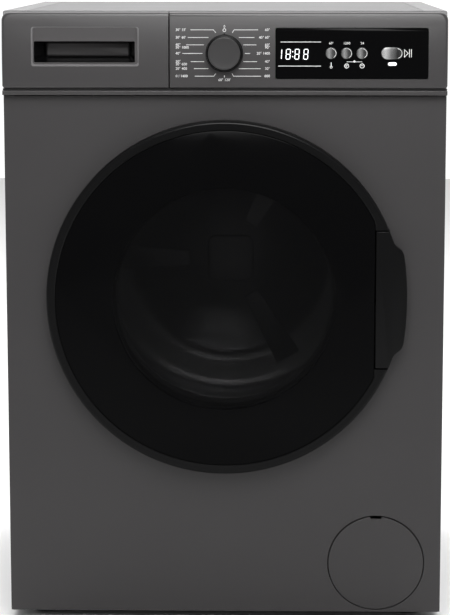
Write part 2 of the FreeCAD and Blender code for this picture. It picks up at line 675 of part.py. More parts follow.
def hinge_bracket():
    """Plate behind the front panel with two ears and the pin."""
    plate = block("bracket_plate", ("hinge_x - 18", "hinge_x + 22"), (PANEL_BACK, f"{PANEL_BACK} + 2"),
                  around_axis("60"))
    pieces = [plate, rod("hinge_pin", "z", around_axis("ear_high"), ("hinge_x", "hinge_y"), "pin_radius")]
    for name, low, high in (("upper", "ear_low", "ear_high"), ("lower", "-ear_high", "-ear_low")):
        level = (f"axis_height + ({low})", f"axis_height + ({high})")
        pieces.append(block(f"ear_{name}", ("hinge_x - 4.5", "hinge_x + 4.5"), ("hinge_y", PANEL_BACK),
                            level))
        pieces.append(rod(f"ear_eye_{name}", "z", level, ("hinge_x", "hinge_y"), "4.5"))
    return joined("hinge_bracket", *pieces)


def hinge_arm():
    barrel = rod("arm_barrel", "z", around_axis("38"), ("hinge_x", "hinge_y"), "6.5")
    leaf = block("arm_leaf", ("hinge_x", "hinge_x + 54"), ("frame_front - 5", "frame_front"),
                 around_axis("34"))
    bore = rod("arm_bore", "z", around_axis("39"), ("hinge_x", "hinge_y"), "pin_running_radius")
    return less("hinge_arm", joined("arm_solid", barrel, leaf), bore)


def door_screws():
    heads = []
    for angle in range(30, 390, 60):
        x = f"225 * cos({angle} deg)"
        z = f"axis_height + 225 * sin({angle} deg)"
        heads.append(rod(f"door_screw_{angle}", "y", ("door_back", "door_back + 1.8"), (x, z), "4"))
    return grouped("door_screws", heads)


def door_gasket():
    """Rubber bellows between the front panel's collar and the tub's mouth."""
    profile = [("-240", "145.5"), ("-240", "163.3"), ("-233.5", "163.3"), ("-233.5", "161"), ("-204", "161"),
               ("-204", "178"), ("-190", "178"), ("-190", "172.5"), ("-200.5", "172.5"), ("-200.5", "157.5"),
               ("-236.5", "157.5"), ("-236.5", "145.5")]
    return turned("door_gasket", profile)


# ---- Pump, hoses and connections ----

def filter_cover():
    disc = rod("cover_disc", "y", ("front_face - 0.8", "front_face + 3"), ("filter_x", "filter_z"),
               "cover_radius")
    notch = block("cover_notch", ("filter_x - 7.5", "filter_x + 7.5"), ("front_face - 2", "front_face + 4"),
                  ("filter_z + cover_radius - 4", "filter_z + cover_radius + 1"))
    return less("filter_cover", disc, notch)


def drain_pump():
    """Filter well, pump chamber and motor as one housing."""
    place = ("filter_x", "filter_z")
    well = rod("pump_well", "y", (PANEL_BACK, "well_back"), place, "well_radius")
    barrel = rod("pump_barrel", "y", ("well_back", "-130"), place, "27")
    chamber = rod("pump_chamber", "y", ("-130", "-70"), place, "34")
    motor = rod("pump_motor", "y", ("-70", "-30"), place, "24")
    inlet = rod("pump_inlet", "x", ("165.3", "filter_x"), ("-105", "90"), "18")
    outlet = rod("pump_outlet", "x", ("filter_x", "244.7"), ("-95", "drain_z"), "10")
    solid = joined("pump_solid", well, barrel, chamber, motor, inlet, outlet)
    hollow = rod("pump_well_hollow", "y", (f"{PANEL_BACK} - 1", "well_back - 3"), place, "well_radius - 2")
    bore = rod("pump_filter_bore", "y", ("well_back - 4", "-135"), place, "filter_bore")
    return less("drain_pump", solid, hollow, bore)


def pump_filter():
    place = ("filter_x", "filter_z")
    flange = rod("filter_flange", "y", ("well_back - 5", "well_back - 3.3"), place, "29")
    screen = rod("filter_screen", "y", ("well_back - 4", "-150"), place, "filter_radius")
    grip = block("filter_grip", ("filter_x - 4", "filter_x + 4"), ("well_back - 15", "well_back - 4"),
                 ("filter_z - 24", "filter_z + 24"))
    return joined("pump_filter", flange, screen, grip)


def bend(name, x, y, z, turn_axis, angle, radius, outer):
    """A quarter torus about x, y, z, turned by an angle about an axis."""
    torus = doc.addObject("Part::Torus", name)
    torus.Placement = FreeCAD.Placement(VECTOR(), FreeCAD.Rotation(turn_axis, angle))
    torus.Angle3 = 90
    bind(torus, Radius1=radius, Radius2=outer, Placement__Base__x=x, Placement__Base__y=y,
         Placement__Base__z=z)
    return torus


def sump_hose():
    """Hose from the tub's sump down and across to the pump."""
    parts = []
    for name, radius, past in (("outer", "22", 0), ("bore", "18.3", 1)):
        drop = rod(f"sump_drop_{name}", "z", ("120", f"190 + {past}"), ("60", "-105"), radius)
        elbow = bend(f"sump_bend_{name}", "90", "-105", "120", VECTOR(0, -1, 1), 180, "30", radius)
        run = rod(f"sump_run_{name}", "x", ("90", f"165 + {past}"), ("-105", "90"), radius)
        parts.append(joined(f"sump_{name}", drop, elbow, run))
    return less("sump_hose", *parts)


def drain_hose():
    """Pipe from the pump to the outlet spigot at the back."""
    place = ("drain_x", "drain_z")
    parts = []
    for name, radius, end in (("outer", "drain_radius - 1", "rear_face"),
                              ("bore", "drain_bore", "rear_limit + 1")):
        elbow = bend(f"drain_bend_{name}", "245", "-78", "drain_z", VECTOR(0, 0, 1), -90, "17", radius)
        parts.append(joined(f"drain_{name}", elbow,
                            rod(f"drain_run_{name}", "y", ("-78", end), place, radius)))
    spigot = rod("drain_spigot", "y", ("rear_face", "rear_limit"), place, "drain_radius")
    return less("drain_hose", joined("drain_with_spigot", parts[0], spigot), parts[1])


def fill_hose():
    """Corrugated hose from the dispenser to the tub."""
    profile = [("16.4", "686"), ("20", "686"), ("20", "692")]
    for fold in range(5):
        foot = 692 + 8 * fold
        profile += [("23", str(foot + 3)), ("23", str(foot + 5)), ("20", str(foot + 8))]
    profile += [("20", "739"), ("16.4", "739")]
    return turned_upright("fill_hose", profile, "-150", "-60")


def inlet_valve():
    place = ("inlet_x", "inlet_z")
    body = block("valve_body", ("inlet_x - 20", "inlet_x + 20"), ("215", "rear_face - sheet_thick"),
                 ("inlet_z - 22", "inlet_z + 22"))
    spigot = rod("valve_spigot", "y", ("rear_face - 2", "rear_limit"), place, "spigot_radius")
    flange = rod("valve_flange", "y", ("rear_face", "rear_face + 2.5"), place, "19")
    nozzle = rod("valve_nozzle", "y", ("200", "216"), place, "6")
    bore = rod("valve_bore", "y", ("rear_face", "rear_limit + 1"), place, "9")
    return less("inlet_valve", joined("valve_solid", body, spigot, flange, nozzle), bore)


def valve_hose():
    return tube("valve_hose", "y", ("housing_back", "200"), ("inlet_x", "inlet_z"), "8", "6")


def cable_gland():
    place = ("gland_x", "gland_z")
    flange = rod("gland_flange", "y", ("rear_face", "rear_face + 3"), place, "13")
    nose = rod("gland_nose", "y", ("rear_face - 6", "rear_face + 11"), place, "7.6")
    bore = rod("gland_bore", "y", ("rear_face - 7", "rear_face + 12"), place, "4")
    return less("cable_gland", joined("gland_solid", flange, nose), bore)


# ---- Tub, drum and drive ----

def tub_inside(name):
    return rod(name, "y", ("tub_front + tub_wall", "tub_back - tub_wall"), ("0", "axis_height"),
               "tub_radius - tub_wall")


def tub_front():
    rim = "tub_radius - tub_wall"
    profile = [("tub_front - 12", "tub_mouth"), ("tub_front - 12", "tub_mouth + 4"),
               ("tub_front", "tub_mouth + 4"), ("tub_front", "tub_radius"), ("tub_split - 6", "tub_radius"),
               ("tub_split - 6", "tub_radius + 8"), ("tub_split", "tub_radius + 8"), ("tub_split", rim),
               ("tub_front + tub_wall", rim), ("tub_front + tub_wall", "tub_mouth")]
    fill = rod("tub_fill_spigot", "z", ("650", "692"), ("-150", "-60"), "16")
    sump = rod("tub_sump_spigot", "z", ("178", "215"), ("60", "-105"), "18")
    fill_bore = rod("tub_fill_bore", "z", ("640", "693"), ("-150", "-60"), "13")
    sump_bore = rod("tub_sump_bore", "z", ("177", "220"), ("60", "-105"), "15")
    solid = joined("tub_front_solid", turned("tub_front_body", profile), fill, sump)
    return less("tub_front", solid, tub_inside("tub_front_inside"), fill_bore, sump_bore)


def tub_rear():
    rim = "tub_radius - tub_wall"
    inner_wall = "tub_back - tub_wall"
    profile = [("tub_split", rim), ("tub_split", "tub_radius + 8"), ("tub_split + 6", "tub_radius + 8"),
               ("tub_split + 6", "tub_radius"), ("tub_back", "tub_radius"), ("tub_back", "46"), ("206", "46"),
               ("206", "bearing_radius"), ("150", "bearing_radius"), ("150", "46"), (inner_wall, "46"),
               (inner_wall, rim)]
    lugs = []
    for side, sign in (("right", 1), ("left", -1)):
        span = mirrored_span("damper_x - 10", "damper_x + 10", sign)
        lugs.append(block(f"damper_lug_{side}", span, ("-12", "12"), ("285", "312")))
        lugs.append(block(f"spring_lug_{side}", span, ("spring_y - 10", "spring_y + 10"),
                          ("600", "spring_low")))
    hollow = rod("tub_rear_inside", "y", ("tub_split", inner_wall), ("0", "axis_height"), rim)
    slot = block("heater_slot", ("-45", "45"), (f"{inner_wall} - 1", "tub_back + 1"), ("203", "219"))
    hub = tube("tub_hub", "y", ("150", "206"), ("0", "axis_height"), "46", "bearing_radius")
    shell = less("tub_rear_shell", joined("tub_rear_solid", turned("tub_rear_body", profile), *lugs), hollow,
                 slot)
    return joined("tub_rear", shell, hub)


def drum_bearings():
    centre = ("0", "axis_height")
    front = tube("front_bearing", "y", ("152", "168"), centre, "bearing_radius", "shaft_running_radius")
    rear = tube("rear_bearing", "y", ("188", "204"), centre, "bearing_radius", "shaft_running_radius")
    return grouped("drum_bearings", [front, rear])


def top_weight():
    """Concrete weight seated on the tub."""
    slab = block("weight_slab", ("-170", "170"), ("10", "150"), ("690", "775"))
    return less("top_weight", slab,
                rod("weight_seat", "y", ("0", "160"), ("0", "axis_height"), "tub_radius + 0.2"))


def heater():
    """Tubular heater between the drum and the tub, with its plug in the tub's back wall."""
    level = "211"
    rods = [rod(f"heater_rod_{side}", "y", ("-120", "160"), (x, level), "4")
            for side, x in (("left", "-30"), ("right", "30"))]
    loop = doc.addObject("Part::Torus", "heater_loop")
    loop.Placement = FreeCAD.Placement(VECTOR(), FreeCAD.Rotation(VECTOR(0, 0, 1), 180))
    loop.Angle3 = 180
    bind(loop, Radius1="30", Radius2="4", Placement__Base__y="-120", Placement__Base__z=level)
    plug = block("heater_plug", ("-44.5", "44.5"), ("160", "tub_back + 5"), ("204", "218.5"))
    return joined("heater", *rods, loop, plug)


def drum_shell():
    wall = "drum_radius - drum_wall"
    profile = [("drum_front", "drum_mouth"), ("drum_front", "drum_radius"), ("drum_back", "drum_radius"),
               ("drum_back", wall), ("drum_front + drum_wall", wall),
               ("drum_front + drum_wall", "drum_mouth + drum_wall"),
               ("drum_front + 8", "drum_mouth + drum_wall"), ("drum_front + 8", "drum_mouth")]
    return turned("drum_shell", profile)


def drum_rear_wall():
    rim = "drum_radius - drum_wall"
    profile = [("drum_back - 8", "0"), ("drum_back - 8", "60"), ("drum_back - 4", "90"),
               ("drum_back - 4", rim), ("drum_back - 2", rim), ("drum_back - 2", "90.5"),
               ("drum_back - 6", "61"), ("drum_back - 6", "0")]
    return turned("drum_rear_wall", profile)


def polar_pattern(body, name, original, sketch, count):
    pattern = body.newObject("PartDesign::PolarPattern", name)
    pattern.Originals = [original]
    pattern.Axis = (sketch, ["N_Axis"])
    pattern.Angle = 360
    pattern.Occurrences = count
    body.Tip = pattern
    doc.recompute()
    return pattern


def drum_spider():
    """Three-armed carrier behind the drum with its shaft."""
    body = new_body("drum_spider")
    hub_back = "-(drum_back + 18)"
    pad(body, "spider_hub", "XZ_Plane", ("0", "axis_height", hub_back), [("0", "0", "40")], "18")
    arm_outline = [("-20", "20"), ("20", "20"), ("11", "228"), ("-11", "228")]
    arm = pad(body, "spider_arm", "XZ_Plane", ("0", "axis_height", "-(drum_back + 14)"), [arm_outline], "14")
    doc.recompute()
    polar_pattern(body, "spider_arms", arm, doc.getObject("spider_arm_sketch"), 3)
    pad(body, "spider_shaft", "XZ_Plane", ("0", "axis_height", "-(pulley_back + 2)"),
        [("0", "0", "shaft_radius")],
        "pulley_back + 2 - drum_back - 10")
    return body


def drum_lifters():
    """Three ribs, straight along the drum, tapering inwards."""
    centre = value("axis_height")
    seat = value("drum_radius - drum_wall")
    foot, tip, height = 36, 13, 48
    front, back = value("drum_front + 22"), value("drum_back - 20")
    corners = [(-foot, -seat - 5), (foot, -seat - 5), (foot, -seat + 10), (tip, -seat + height),
               (-tip, -seat + height), (-foot, -seat + 10)]
    outline = Part.makePolygon([VECTOR(x, front, z) for x, z in corners + corners[:1]])
    rib = Part.Face(outline).extrude(VECTOR(0, back - front, 0))
    rib = rib.common(Part.makeCylinder(seat, back - front, VECTOR(0, front, 0), VECTOR(0, 1, 0)))
    ribs = []
    for turn in (60, 180, 300):
        copy = rib.copy()
        copy.rotate(VECTOR(0, 0, 0), VECTOR(0, 1, 0), turn)
        copy.translate(VECTOR(0, 0, centre))
        ribs.append(copy)
    feature = doc.addObject("Part::Feature", "drum_lifters")
    feature.Shape = Part.makeCompound(ribs)
    return feature


def drum_pulley():
    """Spoked belt pulley on the end of the shaft."""
    body = new_body("drum_pulley")
    ring = ("0", "0", "pulley_radius")
    bore = ("0", "0", "shaft_radius")
    pad(body, "pulley_disc", "XZ_Plane", ("0", "axis_height", "-pulley_back"), [ring, bore],
        "pulley_back - pulley_front")
    window = [("-14", "40"), ("14", "40"), ("38", "112"), ("-38", "112")]
    cut = pocket(body, "pulley_window", "XZ_Plane", ("0", "axis_height", "-217"), [window], "60")
    polar_pattern(body, "pulley_windows", cut, doc.getObject("pulley_window_sketch"), 5)
    return body


def drive_motor():
    place = ("motor_x", "motor_z")
    can = rod("motor_can", "y", ("70", "190"), place, "motor_radius")
    lugs = [block(f"motor_lug_{index}", ("motor_x - 30", "motor_x + 30"), (low, high), ("motor_z", "248"))
            for index, (low, high) in enumerate((("92", "106"), ("146", "160")))]
    seat = rod("motor_seat", "y", ("60", "200"), ("0", "axis_height"), "tub_radius + slim_gap")
    return less("drive_motor", joined("motor_solid", can, *lugs), seat)


def motor_pulley():
    flange = "motor_pulley_radius + 2"
    profile = [("190.3", "0"), ("190.3", "6"), ("pulley_front", "6"), ("pulley_front", flange),
               ("210", flange), ("210", "motor_pulley_radius"), ("224", "motor_pulley_radius"),
               ("224", flange), ("pulley_back", flange), ("pulley_back", "0")]
    return turned("motor_pulley", profile, x="motor_x", z="motor_z")


def belt_wire(offset):
    """Closed line round both pulleys, standing off them by offset."""
    drum_centre = VECTOR(0, 0, value("axis_height"))
    motor_centre = VECTOR(value("motor_x"), 0, value("motor_z"))
    drum_r, motor_r = value("pulley_radius") + offset, value("motor_pulley_radius") + offset
    along = motor_centre - drum_centre
    distance = along.Length
    along.normalize()
    lean = math.acos((drum_r - motor_r) / distance)

    def on_circle(centre, radius, angle):
        direction = FreeCAD.Rotation(VECTOR(0, 1, 0), math.degrees(angle)).multVec(along)
        return centre + direction * radius

    ends = [on_circle(drum_centre, drum_r, lean), on_circle(drum_centre, drum_r, math.pi),
            on_circle(drum_centre, drum_r, -lean), on_circle(motor_centre, motor_r, -lean),
            on_circle(motor_centre, motor_r, 0), on_circle(motor_centre, motor_r, lean)]
    edges = [Part.Arc(ends[0], ends[1], ends[2]).toShape(), Part.LineSegment(ends[2], ends[3]).toShape(),
             Part.Arc(ends[3], ends[4], ends[5]).toShape(), Part.LineSegment(ends[5], ends[0]).toShape()]
    return Part.Wire(edges)


def drive_belt():
    outer = Part.Face(belt_wire(3.8)).extrude(VECTOR(0, 10, 0))
    inner = Part.Face(belt_wire(0.4)).extrude(VECTOR(0, 10, 0))
    feature = doc.addObject("Part::Feature", "drive_belt")
    feature.Shape = outer.cut(inner)
    feature.Placement = FreeCAD.Placement(VECTOR(0, value("pulley_front + 4"), 0), FreeCAD.Rotation())
    return feature


# ---- Suspension ----

def damper_cylinders():
    base = "floor_gap + wall_thick"
    return grouped("damper_cylinders", [
        less(f"damper_{side}",
             rod(f"damper_tube_{side}", "z", (base, "damper_top"), (x, "0"), "damper_radius"),
             rod(f"damper_hollow_{side}", "z", (f"{base} + 8", "damper_top + 1"), (x, "0"), "damper_bore"))
        for side, x in (("right", "damper_x"), ("left", "-damper_x"))])


def damper_rods():
    return grouped("damper_rods", [
        joined(f"damper_rod_{side}", rod(f"damper_stem_{side}", "z", ("90", "285"), (x, "0"), "5"),
               rod(f"damper_piston_{side}", "z", ("90", "102"), (x, "0"), "damper_bore - 0.4"))
        for side, x in (("right", "damper_x"), ("left", "-damper_x"))])


def suspension_springs():
    """Two coil springs between the cabinet's hangers and the tub's lugs."""
    radius, wire = value("spring_radius"), value("spring_wire")
    low, high = value("spring_low") + wire + 0.5, value("spring_high") - wire - 0.5
    helix = Part.makeHelix((high - low) / value("spring_turns"), high - low, radius)
    section = Part.Wire(Part.makeCircle(wire, VECTOR(radius, 0, 0), VECTOR(0, 1, 0)))
    coil = Part.Wire(helix).makePipeShell([section], True, True)
    coils = []
    for x in (value("damper_x"), -value("damper_x")):
        copy = coil.copy()
        copy.translate(VECTOR(x, value("spring_y"), low))
        coils.append(copy)
    feature = doc.addObject("Part::Feature", "suspension_springs")
    feature.Shape = Part.makeCompound(coils)
    return feature


# ---- Everything together ----

def all_nodes():
    nodes = [cabinet_wrap(), front_panel(), rear_cover(), worktop_frame(), worktop(), base_pan(),
             cabinet_screws(), control_fascia(), lower_trim(), display_window(), control_board(),
             programme_knob(), round_button("temperature_button", 0), round_button("spin_button", 1),
             round_button("delay_button", 2), start_button(), drawer_front(), drawer_tray(), siphon_cap(),
             dispenser_housing(), door_ring(), door_disc(), door_inner_frame(), door_glass(), door_handle(),
             latch_hook(), door_lock(), hinge_bracket(), hinge_arm(), door_screws(), door_gasket(),
             filter_cover(), drain_pump(), pump_filter(), sump_hose(), drain_hose(), fill_hose(),
             inlet_valve(), valve_hose(), cable_gland(), tub_front(), tub_rear(), drum_bearings(),
             top_weight(), heater(), drum_shell(), drum_rear_wall(), drum_spider(), drum_lifters(),
             drum_pulley(), drive_motor(), motor_pulley(), drive_belt(), damper_cylinders(), damper_rods(),
             suspension_springs()]
    nodes += [levelling_foot(name, x, y) for name, x, y in foot_places()]
    doc.recompute()
    return nodes


def check_and_write(nodes):
    for thing in doc.Objects:
        if {"Invalid", "Error"} & set(thing.State):
            raise RuntimeError(f"{thing.Label} failed: {thing.State}")
    for node in nodes:
        if node.Shape.isNull() or not node.Shape.isValid():
            raise RuntimeError(f"{node.Label} has no valid shape")
    os.makedirs("parts", exist_ok=True)
    for node in nodes:
        node.Shape.exportStep(f"parts/{node.Label}.step")
        box = node.Shape.BoundBox
        print(node.Label, len(node.Shape.Solids), round(node.Shape.Volume / 1000, 1),
              [round(v, 1) for v in (box.XMin, box.XMax, box.YMin, box.YMax, box.ZMin, box.ZMax)])


check_and_write(all_nodes())
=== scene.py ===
import contextlib
import math

import bmesh
import bpy
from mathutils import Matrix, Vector


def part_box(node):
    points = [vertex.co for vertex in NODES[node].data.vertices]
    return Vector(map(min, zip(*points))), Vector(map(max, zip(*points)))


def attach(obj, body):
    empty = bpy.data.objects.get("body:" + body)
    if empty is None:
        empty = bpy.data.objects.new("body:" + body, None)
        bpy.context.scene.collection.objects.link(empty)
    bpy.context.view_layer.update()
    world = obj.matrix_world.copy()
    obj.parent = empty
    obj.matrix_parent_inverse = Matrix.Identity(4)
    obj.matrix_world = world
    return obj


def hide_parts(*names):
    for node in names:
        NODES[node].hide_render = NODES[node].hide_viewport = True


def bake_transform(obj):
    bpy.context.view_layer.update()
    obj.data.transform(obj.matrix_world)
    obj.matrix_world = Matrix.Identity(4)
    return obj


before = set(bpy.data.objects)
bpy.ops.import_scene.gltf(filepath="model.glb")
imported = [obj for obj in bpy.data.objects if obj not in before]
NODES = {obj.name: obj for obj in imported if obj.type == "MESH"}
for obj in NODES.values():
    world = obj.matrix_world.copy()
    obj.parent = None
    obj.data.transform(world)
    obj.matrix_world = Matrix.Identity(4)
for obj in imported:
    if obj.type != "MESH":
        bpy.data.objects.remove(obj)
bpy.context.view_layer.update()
MM = 0.001

# Places read from the frame.
GLASS_LOW, GLASS_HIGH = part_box("door_glass")
AXIS_Z = (GLASS_LOW.z + GLASS_HIGH.z) / 2
RING_LOW, RING_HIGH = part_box("door_ring")
KNOB_LOW, KNOB_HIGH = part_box("programme_knob")
CONTROL_Z = (KNOB_LOW.z + KNOB_HIGH.z) / 2
FASCIA_LOW, FASCIA_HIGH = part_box("control_fascia")
WINDOW_LOW, WINDOW_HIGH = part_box("display_window")
COVER_LOW, COVER_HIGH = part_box("filter_cover")
DOOR_CENTRE = (0.0, AXIS_Z)


# ---- Outlines ----

def centre_of(node):
    """The middle (x, z) of a CAD node, seen from the front."""
    low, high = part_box(node)
    return ((low.x + high.x) / 2, (low.z + high.z) / 2)


def arc_points(centre, radius, start, end, steps):
    """Points (x, z) along an arc, with angles in degrees from +X towards +Z."""
    angles = [math.radians(start + (end - start) * step / steps) for step in range(steps + 1)]
    return [(centre[0] + radius * math.cos(a), centre[1] + radius * math.sin(a)) for a in angles]


def corner_outline(x, z, radii, steps=8):
    """A rectangle's outline with its own radius at upper right, upper left, lower left and lower right."""
    points = []
    for index, radius in enumerate(radii):
        cx = x[1] - radius if index in (0, 3) else x[0] + radius
        cz = z[1] - radius if index < 2 else z[0] + radius
        points += arc_points((cx, cz), radius, 90 * index, 90 * index + 90, steps)
    return points


def rounded_outline(x, z, radius):
    return corner_outline(x, z, [radius] * 4, 6)


def circle(centre, radius, steps=48):
    return arc_points(centre, radius, 0, 360, steps)[:-1]


def pill_outline(centre, width, height, steps=14):
    half = (width - height) / 2
    return (arc_points((centre[0] + half, centre[1]), height / 2, -90, 90, steps)
            + arc_points((centre[0] - half, centre[1]), height / 2, 90, 270, steps))


def scaled(outline, left, right, bottom, top):
    """The outline drawn in at each of its four sides by the given amounts."""
    xs = [x for x, z in outline]
    zs = [z for x, z in outline]
    x0, x1, z0, z1 = min(xs), max(xs), min(zs), max(zs)
    return [(x0 + left + (x - x0) * (x1 - x0 - left - right) / (x1 - x0),
             z0 + bottom + (z - z0) * (z1 - z0 - bottom - top) / (z1 - z0)) for x, z in outline]


def drawn_in(outline, amount):
    """The outline drawn in by the same amount all round, or let out if the amount is negative."""
    return scaled(outline, amount, amount, amount, amount)


# ---- Solids ----

def finish_mesh(piece, angle=35):
    """Smooth shading with creases where faces meet at more than the angle."""
    piece.data.shade_smooth()
    piece.data.set_sharp_from_angle(angle=math.radians(angle))


@contextlib.contextmanager
def edited(data):
    """Opens mesh data for editing and writes it back."""
    mesh = bmesh.new()
    mesh.from_mesh(data)
    yield mesh
    mesh.to_mesh(data)
    mesh.free()


def as_piece(name, mesh, material, body, angle):
    """Makes an object of the mesh data, with its material, its shading and the body it rides with."""
    piece = bpy.data.objects.new(name, mesh)
    bpy.context.scene.collection.objects.link(piece)
    mesh.materials.append(MAT[material])
    finish_mesh(piece, angle)
    if body:
        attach(piece, body)
    return piece


def new_piece(name, verts, faces, material, body=None, angle=35):
    """A piece from vertices and faces, with its normals turned outwards."""
    data = bpy.data.meshes.new(name)
    data.from_pydata([tuple(v) for v in verts], [], faces)
    data.validate()
    with edited(data) as mesh:
        bmesh.ops.recalc_face_normals(mesh, faces=mesh.faces)
    return as_piece(name, data, material, body, angle)


def revolve(name, profile, place, material, body, segments, closed, angle):
    """Turns a profile's points into a ring of strips. The place function gives each point at each turn."""
    count = len(profile)
    turns = [2 * math.pi * step / segments for step in range(segments)]
    verts = [place(point, turn) for turn in turns for point in profile]
    faces = []
    for step in range(segments):
        start, following = step * count, (step + 1) % segments * count
        for index in range(count if closed else count - 1):
            after = (index + 1) % count
            faces.append((start + index, start + after, following + after, following + index))
    piece = new_piece(name, verts, faces, material, None, angle)
    weld(piece)
    if body:
        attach(piece, body)
    return piece


def lathe(name, profile, material, body=None, centre=DOOR_CENTRE, segments=192, closed=True, angle=35):
    """Turns (y, radius) points about the line along Y through the centre (x, z)."""
    def place(point, turn):
        y, radius = point
        return (centre[0] + radius * math.sin(turn), y, centre[1] + radius * math.cos(turn))
    return revolve(name, profile, place, material, body, segments, closed, angle)


def spin_upright(name, profile, material, centre, body=None, segments=64):
    """Turns (radius, z) points about the upright line through the centre (x, y)."""
    def place(point, turn):
        radius, z = point
        return (centre.x + radius * math.cos(turn), centre.y + radius * math.sin(turn), z)
    piece = revolve(name, profile, place, material, body, segments, False, 40)
    finish_mesh(piece, 40)
    return piece


def shifted(start, points):
    """Moves (y, radius) points along Y."""
    return [(start + y, radius) for y, radius in points]


def rolled_edge(front, outer, size, steps):
    """A quarter circle from a lathed piece's side round to its front, in steps of 15 degrees."""
    turns = [math.radians(15 * step) for step in steps]
    return [(front + size * (1 - math.sin(turn)), outer - size * (1 - math.cos(turn))) for turn in turns]


def weld(piece, gap=1e-6):
    """Joins points that coincide and drops faces without area."""
    with edited(piece.data) as mesh:
        bmesh.ops.remove_doubles(mesh, verts=mesh.verts, dist=gap)
        bmesh.ops.dissolve_degenerate(mesh, edges=mesh.edges, dist=gap)
        bmesh.ops.recalc_face_normals(mesh, faces=mesh.faces)


def slab(name, low, high, material, body=None, bevel=0.0, segments=3):
    """A box with rounded edges."""
    mesh = bmesh.new()
    bmesh.ops.create_cube(mesh, size=1)
    size = Vector(high) - Vector(low)
    middle = (Vector(high) + Vector(low)) / 2
    for vert in mesh.verts:
        vert.co = Vector((vert.co.x * size.x, vert.co.y * size.y, vert.co.z * size.z)) + middle
    if bevel:
        bmesh.ops.bevel(mesh, geom=mesh.edges[:], offset=bevel, segments=segments, affect="EDGES", profile=0.5)
    data = bpy.data.meshes.new(name)
    mesh.to_mesh(data)
    mesh.free()
    return as_piece(name, data, material, body, 30)


def block(low, high, bevel=0.0, segments=3):
    """A box to cut with."""
    return slab("block", low, high, "ring", None, bevel, segments)


def extrude_outline(name, outline, y_front, y_back, material, body=None, bevel=0.0, segments=3):
    """A plate in the XZ plane from an outline of (x, z) points, with its front and back edges rounded."""
    mesh = bmesh.new()
    front = [mesh.verts.new((x, y_front, z)) for x, z in outline]
    back = [mesh.verts.new((x, y_back, z)) for x, z in outline]
    count = len(outline)
    front_face = mesh.faces.new(front)
    back_face = mesh.faces.new(back[::-1])
    for index in range(count):
        after = (index + 1) % count
        mesh.faces.new((front[index], back[index], back[after], front[after]))
    bmesh.ops.recalc_face_normals(mesh, faces=mesh.faces)
    if bevel:
        rims = list({edge for face in (front_face, back_face) for edge in face.edges})
        bmesh.ops.bevel(mesh, geom=rims, offset=bevel, segments=segments, affect="EDGES", profile=0.5)
    data = bpy.data.meshes.new(name)
    mesh.to_mesh(data)
    mesh.free()
    return as_piece(name, data, material, body, 30)


def loft(name, sections, material, body=None, angle=30):
    """A closed solid through outlines of equal length, each a list of (x, z) points at its own y.

    The y may be a function of the level instead of a number.
    """
    count = len(sections[0][0])
    verts = [(x, y(z) if callable(y) else y, z) for outline, y in sections for x, z in outline]
    faces = [tuple(range(count)), tuple(range(len(verts) - count, len(verts)))]
    for ring in range(len(sections) - 1):
        for index in range(count):
            after = (index + 1) % count
            start = ring * count
            faces.append((start + index, start + after, start + count + after, start + count + index))
    return new_piece(name, verts, faces, material, body, angle)


def prism(name, outline, y_front, y_back):
    """An outline's straight extrusion, to cut with."""
    return loft(name, [(outline, y_front), (outline, y_back)], "panel")


def open_ends(piece):
    """Takes away the loft's two end faces, the largest faces it has."""
    with edited(piece.data) as mesh:
        caps = sorted(mesh.faces, key=lambda face: len(face.verts))[-2:]
        bmesh.ops.delete(mesh, geom=caps, context="FACES_ONLY")
    finish_mesh(piece)


def carve(piece, *cutters):
    """Cuts the cutters out of the piece and removes them."""
    for cutter in cutters:
        rule = piece.modifiers.new("cut", "BOOLEAN")
        rule.operation = "DIFFERENCE"
        rule.solver = "EXACT"
        rule.object = cutter
    bpy.context.view_layer.update()
    graph = bpy.context.evaluated_depsgraph_get()
    mesh = bpy.data.meshes.new_from_object(piece.evaluated_get(graph))
    piece.modifiers.clear()
    piece.data = mesh
    for cutter in cutters:
        bpy.data.objects.remove(cutter)
    finish_mesh(piece)


def merge(name, pieces, body=None):
    """One piece from several, keeping their materials."""
    bpy.ops.object.select_all(action="DESELECT")
    for piece in pieces:
        piece.select_set(True)
    bpy.context.view_layer.objects.active = pieces[0]
    bpy.ops.object.join()
    whole = pieces[0]
    whole.name = name
    whole.data.name = name
    if body:
        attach(whole, body)
    return whole


def paint(piece, material, test):
    """Gives a second material to the faces that pass the test; here it puts painted shade and painted light on chosen
    faces.
    """
    mesh = piece.data
    mesh.materials.append(MAT[material])
    for face in mesh.polygons:
        if test(face):
            face.material_index = len(mesh.materials) - 1


# ---- Materials ----

def node_material(name):
    material = bpy.data.materials.new(name)
    material.use_nodes = True
    return material, material.node_tree.nodes, material.node_tree.links


def noise(nodes, links, scale, detail=4.0, stretch=None):
    """A noise texture in object space, stretched along some axes if asked."""
    place = nodes.new("ShaderNodeTexCoord")
    texture = nodes.new("ShaderNodeTexNoise")
    texture.inputs["Scale"].default_value = scale
    texture.inputs["Detail"].default_value = detail
    if stretch:
        mapping = nodes.new("ShaderNodeMapping")
        mapping.inputs["Scale"].default_value = stretch
        links.new(place.outputs["Object"], mapping.inputs["Vector"])
        links.new(mapping.outputs["Vector"], texture.inputs["Vector"])
    else:
        links.new(place.outputs["Object"], texture.inputs["Vector"])
    return texture.outputs["Fac"]


def mottle(nodes, links, factor, first, second):
    """Mixes two colours by the factor and feeds the shader's base colour."""
    tone = nodes.new("ShaderNodeMix")
    tone.data_type = "RGBA"
    tone.inputs["A"].default_value = (*first, 1)
    tone.inputs["B"].default_value = (*second, 1)
    links.new(factor, tone.inputs["Factor"])
    links.new(tone.outputs["Result"], nodes["Principled BSDF"].inputs["Base Color"])
    return tone.outputs["Result"]


def dimmed(colour, share):
    return [channel * share for channel in colour]


